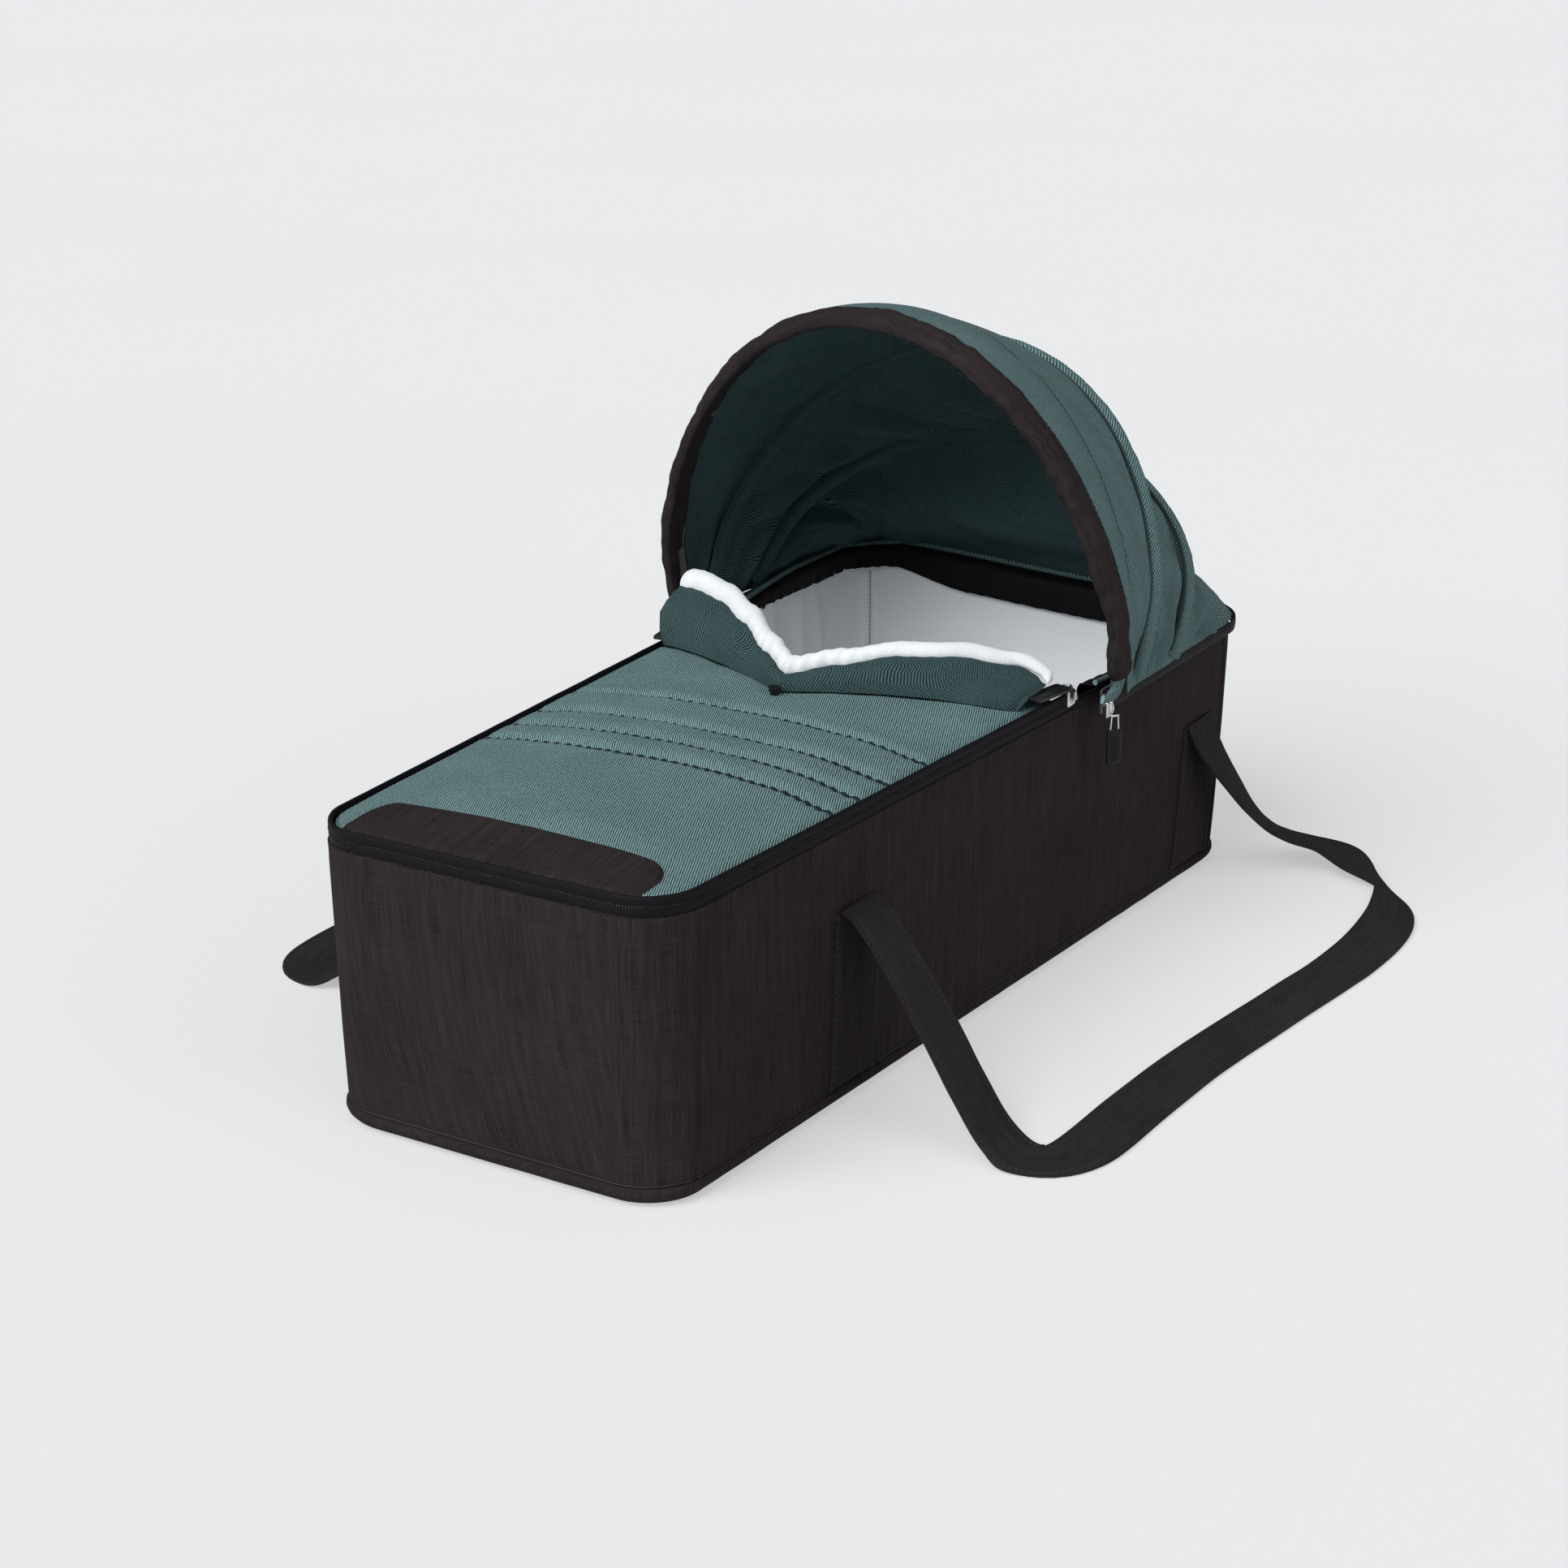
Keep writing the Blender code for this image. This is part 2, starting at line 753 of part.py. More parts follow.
def flap_sections(low_share, high_extra, thickness, lift):
    """Sections of the wind flap or of the roll on its edge."""
    rise = Vector((sin(flap_lean), 0, cos(flap_lean)))
    face = Vector((-cos(flap_lean), 0, sin(flap_lean)))
    half = pad_half(crease_side) - flap_side_margin
    loops = []
    for step in range(flap_steps + 1):
        y = half * (2 * step / flap_steps - 1)
        root, height = flap_frame(y)
        low = height * low_share + lift
        high = height + high_extra
        section = []
        for along, out in flap_section_shares:
            section.append(root + rise * mix(low, high, along) + face * (out * thickness))
        loops.append(section)
    return loops


def build_wind_flap(finish, parent):
    """The teal face of the flap that stands up round the apron's head edge."""
    return solid("wind_flap", flap_sections(0, 0, flap_thickness, 0), finish, parent)


def build_flap_roll(finish, parent):
    """The white roll along the flap's upper edge."""
    loops = flap_sections(1, roll_height, roll_thickness, touch_gap)
    return solid("wind_flap_roll", loops, finish, parent)


def build_snap(finish, apron, flap):
    """The press button that pins the middle of the flap."""
    x = crease_centre - snap_radius - touch_gap * 2
    z = apron_top(x, 0) + touch_gap
    up = Vector((0, 0, 1))
    centre = Vector((x, 0, z))
    solid("snap_socket", disc(centre, up, snap_radius * snap_socket_share, snap_socket_height), finish, apron)
    above = centre + up * (snap_socket_height + touch_gap)
    solid("snap_cap", disc(above, up, snap_radius, snap_cap_height), finish, flap)


# Canopy: bows, rails, cloth and trim


def arch_point(share, foot_x, reach, half, angle, roundness, outset=0.0):
    """A point of an arch that stands on both sides of the cot.

    share runs from the right foot (0) to the left foot (1).
    """
    turn = pi * share
    across = -copysign(abs(cos(turn)) ** (2 / roundness), cos(turn))
    up = abs(sin(turn)) ** (2 / roundness) * (reach + outset)
    spread = bow_spread * smooth(up / bow_spread_height)
    y = across * (half + spread + outset)
    return Vector((foot_x + up * cos(angle), y, pivot_height + up * sin(angle)))


def bow_half(layer):
    """Half width of a bow strip by its layer, the front one outermost."""
    return bow_half_width - layer * (bow_thickness + bow_layer_gap)


def arch_frames(points):
    """Outward direction in the arch's own plane at each of its points."""
    crown = len(points) // 2
    foot_line = points[-1] - points[0]
    plane = foot_line.cross(points[crown] - points[0]).normalized()
    frames = []
    for index in range(len(points)):
        before = points[max(index - 1, 0)]
        after = points[min(index + 1, len(points) - 1)]
        frames.append(plane.cross(after - before).normalized())
    return frames


def build_bow(name, foot_x, reach, angle, layer, finish, parent):
    """A flat spring strip bent into an arch, with an eye at each foot."""
    half = bow_half(layer) - bow_thickness
    points = [arch_point(step / bow_steps, foot_x, reach - bow_thickness, half, angle, bow_roundness)
              for step in range(bow_steps + 1)]
    down = Vector((cos(angle), 0, sin(angle))) * bow_width / 2
    across = Vector((sin(angle), 0, -cos(angle))) * bow_width / 2
    right = Vector((0, RIGHT, 0))
    left = Vector((0, LEFT, 0))
    outward = [right, right, *arch_frames(points)[1:-1], left, left]
    points = [points[0] - down] + points + [points[-1] - down]
    loops = []
    for point, face in zip(points, outward):
        out = face * bow_thickness
        loops.append([point - across, point + across, point + across + out, point - across + out])
    bow = solid(name, loops, finish, parent)
    cut_eyes(bow, foot_x, half, parent)
    return bow


def cut_eyes(bow, foot_x, half, parent):
    """Cut the two pin holes in a bow's feet."""
    for side in (RIGHT, LEFT):
        centre = Vector((foot_x, side * (half - bow_thickness), pivot_height))
        name = f"{bow.name}_eye_cutter_{'right' if side == RIGHT else 'left'}"
        loops = disc(centre, Vector((0, side, 0)), pin_radius + pin_clearance, bow_thickness * 3)
        cutter = solid(name, loops, bow.data.materials[0], parent)
        cutter.hide_render = True
        cutter.display_type = "WIRE"
        cut = bow.modifiers.new(name, "BOOLEAN")
        cut.operation = "DIFFERENCE"
        cut.object = cutter


def build_rail(side, finish):
    """The flat rail with three pins that carries the bows on one side."""
    name = "right_bow_rail" if side == RIGHT else "left_bow_rail"
    outer = bow_half(2) - bow_thickness - bow_layer_gap
    first = front_bow_place - rail_margin
    last = rear_bow_place + rail_margin
    low = pivot_height - rail_depth
    high = pivot_height + rail_margin / 2
    loops = []
    for y in (outer - rail_thickness, outer):
        loops.append([Vector((x, side * y, z)) for x, z in
                      ((first, low), (last, low), (last, high), (first, high))])
    rail = solid(name, loops, finish)
    for index, (x, layer) in enumerate(((front_bow_place, 0), (middle_bow_place, 1), (rear_bow_place, 2))):
        start = outer - rail_thickness / 2
        length = bow_half(layer) - start + touch_gap / 2
        tool = solid(f"{name}_pin_{index}", disc(Vector((x, side * start, pivot_height)),
                     Vector((0, side, 0)), pin_radius, length), finish)
        tool.hide_render = True
        tool.display_type = "WIRE"
        join = rail.modifiers.new(tool.name, "BOOLEAN")
        join.operation = "UNION"
        join.object = tool
    return rail


def panel_loops(start, end, shares, sag):
    """Closed loops of a cloth panel: the outer face out and back along the inner face.

    start and end are the rows of arch values at its two seams, and shares are the
    places between them that get a row of points.
    """
    loops = []
    for step in range(bow_steps + 1):
        share = step / bow_steps
        outer = []
        inner = []
        for v in shares:
            foot_x, reach, half, angle, roundness, outset = (mix(a, b, v) for a, b in zip(start, end))
            hollow = sag * sin(pi * v) ** 2 * sin(pi * share) ** sag_power
            for row, extra in ((outer, cloth_thickness), (inner, 0.0)):
                row.append(arch_point(share, foot_x, reach, half, angle, roundness, outset + extra - hollow))
        loops.append(outer + inner[::-1])
    return loops


def arch_rows():
    """Foot place, reach, half width, angle, roundness and outset of each seam."""
    half = bow_half_width
    behind = trim_back + touch_gap
    front = (front_bow_place + behind, front_bow_reach, half, front_bow_angle, bow_roundness,
             trim_thickness - cloth_thickness * 2)
    middle = (middle_bow_place, middle_bow_reach, half, middle_bow_angle, bow_roundness, seam_lift)
    rear = (rear_bow_place, rear_bow_reach, half, rear_bow_angle, bow_roundness, seam_lift)
    base_reach = body_length / 2 + canopy_base_overhang - canopy_base_start
    base = (canopy_base_start, base_reach, half, 0.0, rim_roundness, touch_gap * 2)
    return front, middle, rear, base


def build_cloth(finish, bodies):
    """The three cloth panels of the canopy."""
    front, middle, rear, base = arch_rows()
    for name, start, end, shares, sag, parent in (
        ("canopy_front_panel", front, middle, narrow_panel_shares, cloth_sag / 2, bodies[0]),
        ("canopy_middle_panel", middle, rear, wide_panel_shares, cloth_sag, bodies[1]),
        ("canopy_rear_panel", rear, base, wide_panel_shares, rear_cloth_sag, bodies[2]),
    ):
        seam = touch_gap / start[1]
        solid(name, panel_loops(start, end, (shares[0] + seam, *shares[1:]), sag), finish, parent)


def build_trim(finish, parent):
    """The padded dark trim along the canopy's front edge."""
    points = [arch_point(step / bow_steps, front_bow_place, front_bow_reach, bow_half(0), front_bow_angle,
                         bow_roundness, touch_gap) for step in range(bow_steps + 1)]
    lowest = pivot_height + trim_start
    first = next(index for index, point in enumerate(points) if point.z > lowest)
    below, above = points[first - 1], points[first]
    start = below.lerp(above, (lowest - below.z) / (above.z - below.z))
    inner = [start] + points[first:len(points) - first] + [Vector((start.x, -start.y, start.z))]
    frames = arch_frames(inner)
    back = Vector((sin(front_bow_angle), 0, -cos(front_bow_angle)))
    loops = []
    for point, frame in zip(inner, frames):
        loop = []
        for along, out in trim_section_shares:
            reach = trim_front if along < 0 else trim_back
            loop.append(point + back * along * reach + frame * out * trim_thickness)
        loops.append(loop)
    return solid("canopy_front_trim", loops, finish, parent)


# Sliders, pulls and handles


def slider_top():
    """Height of the flat top of an apron slider."""
    return apron_low() + tape_height + slider_clearance + slider_lip


def build_slider(name, x, side, finish, parent):
    """A zip slider: a plate outside the two tapes with a cap over their top."""
    outer, inner = tape_outsets()
    low = body_tape_top() - slider_grip
    cap = slider_top() - slider_lip
    near = outer + slider_clearance
    reach = inner - slider_clearance - slider_lip
    chamfer = slider_lip / 2
    profile = (
        (near, low), (near + slider_lip, low), (near + slider_lip, cap),
        (near + slider_lip - chamfer, slider_top()), (reach + chamfer, slider_top()), (reach, cap), (near, cap),
    )
    loops = []
    for along in (-0.5, 0.5):
        place_x = x + along * slider_length
        loops.append([Vector((place_x, side * (half_width(place_x, 1) + out), z)) for out, z in profile])
    return solid(name, loops, finish, parent)


def build_canopy_slider(finish, parent):
    """The canopy's slider, hooked under the canopy's zip."""
    inner = bow_half_width + touch_gap * 2
    outer = inner + cloth_thickness + touch_gap
    high = pivot_height - touch_gap * 2
    low = pivot_height - touch_gap - canopy_tape_height - touch_gap
    profile = ((outer, high), (outer + slider_lip, high), (outer + slider_lip, low - slider_lip),
               (inner, low - slider_lip), (inner, low), (outer, low))
    loops = []
    for along in (-0.5, 0.5):
        place_x = canopy_slider_place + along * canopy_slider_width
        loops.append([Vector((place_x, RIGHT * out, z)) for out, z in profile])
    return solid("canopy_slider", loops, finish, parent)


def build_pull(name, root, direction, flat, finish, length, width, ribs, parent):
    """A flat pull tab with a rounded end.

    root is the tab's near end, direction its run and flat the normal of its face.
    """
    across = direction.cross(flat).normalized()
    thick = pull_thickness / 2
    rounding = width / 4
    steps = max(ribs * 2, pull_steps)
    loops = []
    for step in range(steps + 1):
        share = step / steps
        near = min(share, 1 - share) * length
        narrowing = mix(pull_end_share, 1.0, min(near / rounding, 1.0) ** 0.5)
        ridge = canopy_pull_rib_height * (step % 2) if ribs else 0.0
        half = width / 2 * narrowing
        centre = root + direction * share * length
        loops.append([
            centre + across * half * side + flat * (thick + ridge) * face
            for side, face in ((-1, -1), (1, -1), (1, 1), (-1, 1))
        ])
    return solid(name, loops, finish, parent)


def strap_root(x, height, side):
    """Where a strap's end meets its slit."""
    return Vector((x, side * (half_width(x, level_at(height)) + strap_root_clearance), height))


def build_handle(side, finish, parent):
    """A strap loop that lies out on the floor."""
    foot = strap_root(foot_slit_place, foot_slit_height, side)
    head = strap_root(head_slit_place, head_slit_height, side)
    centres = []
    widths = []
    for along, out, up, wide in strap_route_shares:
        base = foot.lerp(head, along)
        height = mix(foot_slit_height, head_slit_height, min(max(along, 0.0), 1.0))
        wide_vector = Vector((wide[0], wide[1] * -side, wide[2])).normalized()
        lift = strap_thickness / 2 + abs(wide_vector.z) * strap_width / 2 + touch_gap
        centres.append(Vector((base.x, base.y + side * out * strap_reach, max(height * up, lift))))
        widths.append(wide_vector)
    loops = []
    for index, centre in enumerate(centres):
        before = centres[max(index - 1, 0)]
        after = centres[min(index + 1, len(centres) - 1)]
        run = (after - before).normalized()
        wide = widths[index]
        normal = wide.cross(run).normalized()
        half = wide * strap_width / 2
        thick = normal * strap_thickness / 2
        loops.append([centre - half - thick, centre + half - thick, centre + half + thick,
                      centre - half + thick])
    name = "right_handle" if side == RIGHT else "left_handle"
    return solid(name, loops, finish, parent)


def build():
    """Build the whole carrycot."""
    clear_scene()
    charcoal = material("charcoal_fabric", (0.025, 0.021, 0.020), 0.9)
    black = material("black_tape", (0.010, 0.010, 0.012), 0.75)
    teal = material("teal_twill", (0.075, 0.155, 0.150), 0.85)
    white = material("white_lining", (0.78, 0.82, 0.84), 0.85)
    wadding = material("mattress_cover", (0.80, 0.82, 0.83), 0.9)
    board = material("stiffener_board", (0.35, 0.30, 0.24), 0.8)
    spring = material("bow_plastic", (0.06, 0.06, 0.065), 0.5)
    metal = material("zip_metal", (0.72, 0.72, 0.73), 0.25, 1.0)
    tab = material("pull_leather", (0.014, 0.013, 0.014), 0.55)
    rubber = material("pull_rubber", (0.020, 0.020, 0.022), 0.6)

    tub("outer_cover", 0, 0, wall_height, cover_thickness, cover_thickness, base_edge_radius, charcoal)
    build_hem(charcoal)
    build_base_board(board)
    for side in (RIGHT, LEFT):
        build_side_board(side, board)
    for end in (FOOT, HEAD):
        build_end_board(end, board)
    build_lining(white)
    build_body_tape(black)
    build_canopy_tape(black)
    build_valance(black)
    for side, label in ((RIGHT, "right"), (LEFT, "left")):
        build_channel(side, foot_slit_place, foot_slit_height, f"{label}_foot_strap_channel", charcoal)
        build_channel(side, head_slit_place, head_slit_height, f"{label}_head_strap_channel", charcoal)
        build_rail(side, spring)

    lift = axis_empty("mattress_axis", Vector((0, 0, wall_height / 2)))
    build_mattress(wadding, lift)

    apron = axis_empty("apron_axis", Vector((-body_length / 2, 0, apron_low())))
    build_apron_pad(teal, apron)
    build_foot_panel(charcoal, apron)
    build_apron_tape(black, apron)
    flap = axis_empty("wind_flap_axis", Vector((crease_side, 0, apron_low() + apron_edge_thickness)))
    build_wind_flap(teal, flap)
    build_flap_roll(white, flap)
    build_snap(black, apron, flap)

    bows = []
    for name, x, reach, angle, layer in (
        ("front_bow", front_bow_place, front_bow_reach, front_bow_angle, 0),
        ("middle_bow", middle_bow_place, middle_bow_reach, middle_bow_angle, 1),
        ("rear_bow", rear_bow_place, rear_bow_reach, rear_bow_angle, 2),
    ):
        axis = axis_empty(f"{name}_axis", Vector((x, 0, pivot_height)))
        build_bow(name, x, reach, angle, layer, spring, axis)
        bows.append(axis)
    build_cloth(teal, bows)
    build_trim(charcoal, bows[0])

    for side, label, place_x in ((RIGHT, "right", right_slider_place), (LEFT, "left", left_slider_place)):
        middle = half_width(place_x, 1) - tape_inset - tape_thickness / 2
        root = Vector((place_x, side * middle, slider_top()))
        slider = axis_empty(f"{label}_slider_axis", root)
        build_slider(f"{label}_apron_slider", place_x, side, metal, slider)
        joint = root + Vector((0, 0, pull_thickness / 2 + touch_gap))
        run = Vector((-1, -side * pull_inward_share, 0)).normalized()
        build_pull(f"{label}_apron_pull", joint, run, Vector((0, 0, 1)), tab,
                   pull_length, pull_width, 0, axis_empty(f"{label}_pull_axis", joint))

    outer = bow_half_width + touch_gap * 3 + cloth_thickness + slider_lip
    low = pivot_height - canopy_tape_height
    root = Vector((canopy_slider_place, RIGHT * outer, low))
    build_canopy_slider(metal, axis_empty("canopy_slider_axis", root))
    joint = root + Vector((0, RIGHT * (pull_thickness / 2 + canopy_pull_rib_height + touch_gap), 0))
    build_pull("canopy_pull", joint, Vector((0, 0, -1)), Vector((0, RIGHT, 0)), rubber,
               canopy_pull_length, canopy_pull_width, canopy_pull_ribs, axis_empty("canopy_pull_axis", joint))

    for side, label in ((RIGHT, "right"), (LEFT, "left")):
        root = strap_root(foot_slit_place, foot_slit_height, side)
        build_handle(side, charcoal, axis_empty(f"{label}_handle_axis", root))


build()
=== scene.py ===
"""The looks of a soft carrycot: cloth, padding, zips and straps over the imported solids.

X runs from the foot to the head, Y to the cot's left and Z up. Every size is in metres.
"""

import logging
from collections.abc import Callable, Sequence
from dataclasses import dataclass, replace
from enum import Enum
from math import copysign, cos, exp, pi, radians, sin

import bmesh
import bpy
from mathutils import Matrix, Vector, noise

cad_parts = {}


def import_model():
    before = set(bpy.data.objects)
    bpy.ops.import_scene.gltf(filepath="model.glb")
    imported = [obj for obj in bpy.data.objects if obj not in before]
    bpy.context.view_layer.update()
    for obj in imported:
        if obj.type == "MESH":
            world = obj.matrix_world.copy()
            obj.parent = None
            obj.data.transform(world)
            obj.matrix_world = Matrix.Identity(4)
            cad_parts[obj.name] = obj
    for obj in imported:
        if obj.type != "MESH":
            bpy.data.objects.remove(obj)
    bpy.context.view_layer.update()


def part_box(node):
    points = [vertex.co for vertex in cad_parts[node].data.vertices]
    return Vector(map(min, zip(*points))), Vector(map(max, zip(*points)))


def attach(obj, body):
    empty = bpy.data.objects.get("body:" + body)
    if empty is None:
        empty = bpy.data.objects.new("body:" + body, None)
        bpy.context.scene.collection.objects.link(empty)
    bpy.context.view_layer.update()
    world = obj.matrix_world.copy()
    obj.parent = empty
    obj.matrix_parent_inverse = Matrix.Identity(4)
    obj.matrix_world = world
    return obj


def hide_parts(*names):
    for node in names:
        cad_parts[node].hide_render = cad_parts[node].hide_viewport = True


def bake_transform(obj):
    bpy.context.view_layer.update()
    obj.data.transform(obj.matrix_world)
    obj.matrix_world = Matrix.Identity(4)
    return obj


MM = 0.001
UP = Vector((0.0, 0.0, 1.0))
Piece = bpy.types.Object
Material = bpy.types.Material
Path = list[Vector]
Rows = list[Path]
Colour = tuple[float, float, float]
Chart = Callable[[Vector], tuple[float, float]]

log = logging.getLogger("carrycot")


class Side(Enum):
    """The two long sides of the cot."""

    RIGHT = -1
    LEFT = 1

    @property
    def word(self) -> str:
        """The side's name in lower case."""
        return self.name.lower()


class End(Enum):
    """The two short ends of the cot."""

    FOOT = -1
    HEAD = 1


def srgb(red: int, green: int, blue: int) -> Colour:
    """Turn a screen colour from 0 to 255 into linear light.

    Args:
        red, green, blue: The colour as a screen shows it.

    Returns:
        The three linear values.
    """
    def linear(value: int) -> float:
        """One channel in linear light."""
        share = value / 255
        return share / 12.92 if share <= 0.04045 else ((share + 0.055) / 1.055) ** 2.4

    return linear(red), linear(green), linear(blue)


def mix(start: float, end: float, share: float) -> float:
    """Blend two values."""
    return start + (end - start) * share


def spread(start: float, end: float, steps: int) -> list[float]:
    """Values at even steps from the start to the end, both kept."""
    return [mix(start, end, step / steps) for step in range(steps + 1)]


def circle(count: int) -> list[float]:
    """Angles at even steps, once round."""
    return [2 * pi * step / count for step in range(count)]


def smooth(share: float) -> float:
    """Ease a share from 0 to 1."""
    share = min(max(share, 0.0), 1.0)
    return share * share * (3 - 2 * share)


def off_ends(share: float, reach: float) -> float:
    """Rise from 0 at both ends of a run to 1, within the reach."""
    return smooth(min(share, 1 - share) / reach)


def rounded(low: float, share: float) -> float:
    """Rise from a low value to 1 along a quarter of a circle."""
    return mix(low, 1.0, (1 - (1 - share) ** 2) ** 0.5)


def bell(distance: float, reach: float) -> float:
    """A soft hump that is 1 at no distance and fades over the reach."""
    return exp(-(distance / reach) ** 2)


def through(stops: Sequence[tuple[float, float]], place: float) -> float:
    """Read a value from a table with eased steps between its stops.

    Args:
        stops: Pairs of place and value, in the order of their places.
        place: Where to read.

    Returns:
        The value there.
    """
    if place <= stops[0][0]:
        return stops[0][1]
    for (before, low), (after, high) in zip(stops, stops[1:]):
        if place <= after:
            return mix(low, high, smooth((place - before) / (after - before)))
    return stops[-1][1]


def grain(x: float, y: float, z: float, size: float) -> float:
    """Smooth noise from -1 to 1 whose lumps have about the given size."""
    return noise.noise(Vector((x, y, z)) / size)


# Meshes


def settle(name: str, mesh: bpy.types.Mesh, finish: Material) -> Piece:
    """Link a finished mesh as a piece of the scene.

    Args:
        name: The piece's name.
        mesh: Its mesh, in world places.
        finish: Its material.

    Returns:
        The new object.
    """
    piece = bpy.data.objects.new(name, mesh)
    bpy.context.collection.objects.link(piece)
    mesh.materials.append(finish)
    return piece


def chart_rows(rows: Rows, along: bool) -> tuple[list[list[float]], list[list[float]]]:
    """Lay the rows of a loft out flat.

    Args:
        rows: The rows of points, each closed on itself.
        along: Whether the last row joins the first.

    Returns:
        For each point its run along its row and its run down its column.
    """
    across = []
    for row in rows:
        runs = [0.0]
        for near, far in zip(row, row[1:] + row[:1]):
            runs.append(runs[-1] + (far - near).length)
        across.append(runs)
    count = len(rows[0])
    down = [[0.0] * (count + 1)]
    for near, far in zip(rows, rows[1:] + (rows[:1] if along else [])):
        steps = [(far[index % count] - near[index % count]).length for index in range(count + 1)]
        down.append([value + step for value, step in zip(down[-1], steps)])
    across.append(across[0])
    return across, down


def loft(name: str, rows: Rows, finish: Material, along: bool = False,
         chart: Chart | None = None) -> Piece:
    """Skin rows of points into one smooth closed surface that carries its own map in metres.

    Args:
        name: The piece's name.
        rows: Rows with the same number of points each, each closed on itself.
        finish: The piece's material.
        along: Whether the last row joins the first. Otherwise a fan closes each of them.
        chart: The map's place for a point, or None for the runs along rows and columns.

    Returns:
        The new object.
    """
    across, down = chart_rows(rows, along)
    work = bmesh.new()
    layer = work.loops.layers.uv.new("UVMap")
    rings = [[work.verts.new(point) for point in row] for row in rows]
    count = len(rows[0])
    for index in range(len(rows) - (0 if along else 1)):
        below = rings[index]
        above = rings[(index + 1) % len(rows)]
        for step in range(count):
            after = (step + 1) % count
            corners = ((below[step], index, step), (below[after], index, step + 1),
                       (above[after], index + 1, step + 1), (above[step], index + 1, step))
            face = work.faces.new([corner[0] for corner in corners])
            for loop, (_, row, column) in zip(face.loops, corners):
                loop[layer].uv = (across[row][column], down[row][column])
    if not along:
        for ring in (rings[0], rings[-1]):
            middle = work.verts.new(sum((vert.co for vert in ring), Vector()) / len(ring))
            for step, vert in enumerate(ring):
                work.faces.new((middle, vert, ring[(step + 1) % len(ring)]))
    if chart is not None:
        for face in work.faces:
            for loop in face.loops:
                loop[layer].uv = chart(loop.vert.co)
    return from_work(name, work, finish)


def from_work(name: str, work: bmesh.types.BMesh, finish: Material) -> Piece:
    """Turn a worked mesh into a smooth piece whose faces point outwards.

    Args:
        name: The piece's name.
        work: The mesh in work, which is freed.
        finish: The piece's material.

    Returns:
        The new object.
    """
    bmesh.ops.recalc_face_normals(work, faces=work.faces)
    mesh = bpy.data.meshes.new(name)
    work.to_mesh(mesh)
    work.free()
    mesh.shade_smooth()
    mesh.set_sharp_from_angle(angle=radians(50))
    return settle(name, mesh, finish)


def resampled(path: Path, pitch: float) -> Path:
    """Place points at an even pitch along a path.

    Args:
        path: The points of the path.
        pitch: The distance wished between the new points.

    Returns:
        The new points, with both ends kept.
    """
    tiny = 1e-9
    lengths = [(far - near).length for near, far in zip(path, path[1:])]
    total = sum(lengths)
    steps = max(int(round(total / pitch)), 2)
    points = []
    index = 0
    passed = 0.0
    for step in range(steps + 1):
        goal = min(total * step / steps, total - tiny)
        while passed + lengths[index] < goal and index < len(lengths) - 1:
            passed += lengths[index]
            index += 1
        share = (goal - passed) / max(lengths[index], tiny)
        points.append(path[index].lerp(path[index + 1], min(max(share, 0.0), 1.0)))
    return points


def curved(path: Path, steps: int) -> Path:
    """Draw a smooth curve through the points of a path.

    Args:
        path: The points that the curve passes.
        steps: The number of points from each one to the next.

    Returns:
        The points of the curve.
    """
    points = []
    last = len(path) - 1
    for index in range(last):
        before = path[max(index - 1, 0)]
        near, far = path[index], path[index + 1]
        after = path[min(index + 2, last)]
        for step in range(steps):
            t = step / steps
            points.append(0.5 * (2 * near + (far - before) * t
                                 + (2 * before - 5 * near + 4 * far - after) * t * t
                                 + (3 * near - before - 3 * far + after) * t ** 3))
    return points + [path[-1].copy()]


def heading(path: Path, index: int, closed: bool = False) -> Vector:
    """Find the direction of a path.

    Args:
        path: The points of the path.
        index: The number of the point where it is wanted.
        closed: Whether the path returns to its start.

    Returns:
        The direction at that point.
    """
    before = path[index - 1] if closed or index else path[0]
    after = path[(index + 1) % len(path)] if closed or index < len(path) - 1 else path[-1]
    return (after - before).normalized()


def tube(name: str, path: Path, radius: float, finish: Material, sides: int,
         closed: bool = False, lean: Vector = UP) -> Piece:
    """Make a round cord along a path.

    Args:
        name: The piece's name.
        path: Its centre line.
        radius: Its radius.
        finish: Its material.
        sides: The number of flats round it.
        closed: Whether the path returns to its start.
        lean: A direction that the path never follows.

    Returns:
        The new object.
    """
    rows = []
    for index, point in enumerate(path):
        run = heading(path, index, closed)
        first = run.cross(lean).normalized()
        second = run.cross(first)
        rows.append([point + (first * cos(turn) + second * sin(turn)) * radius for turn in circle(sides)])
    return loft(name, rows, finish, along=closed)


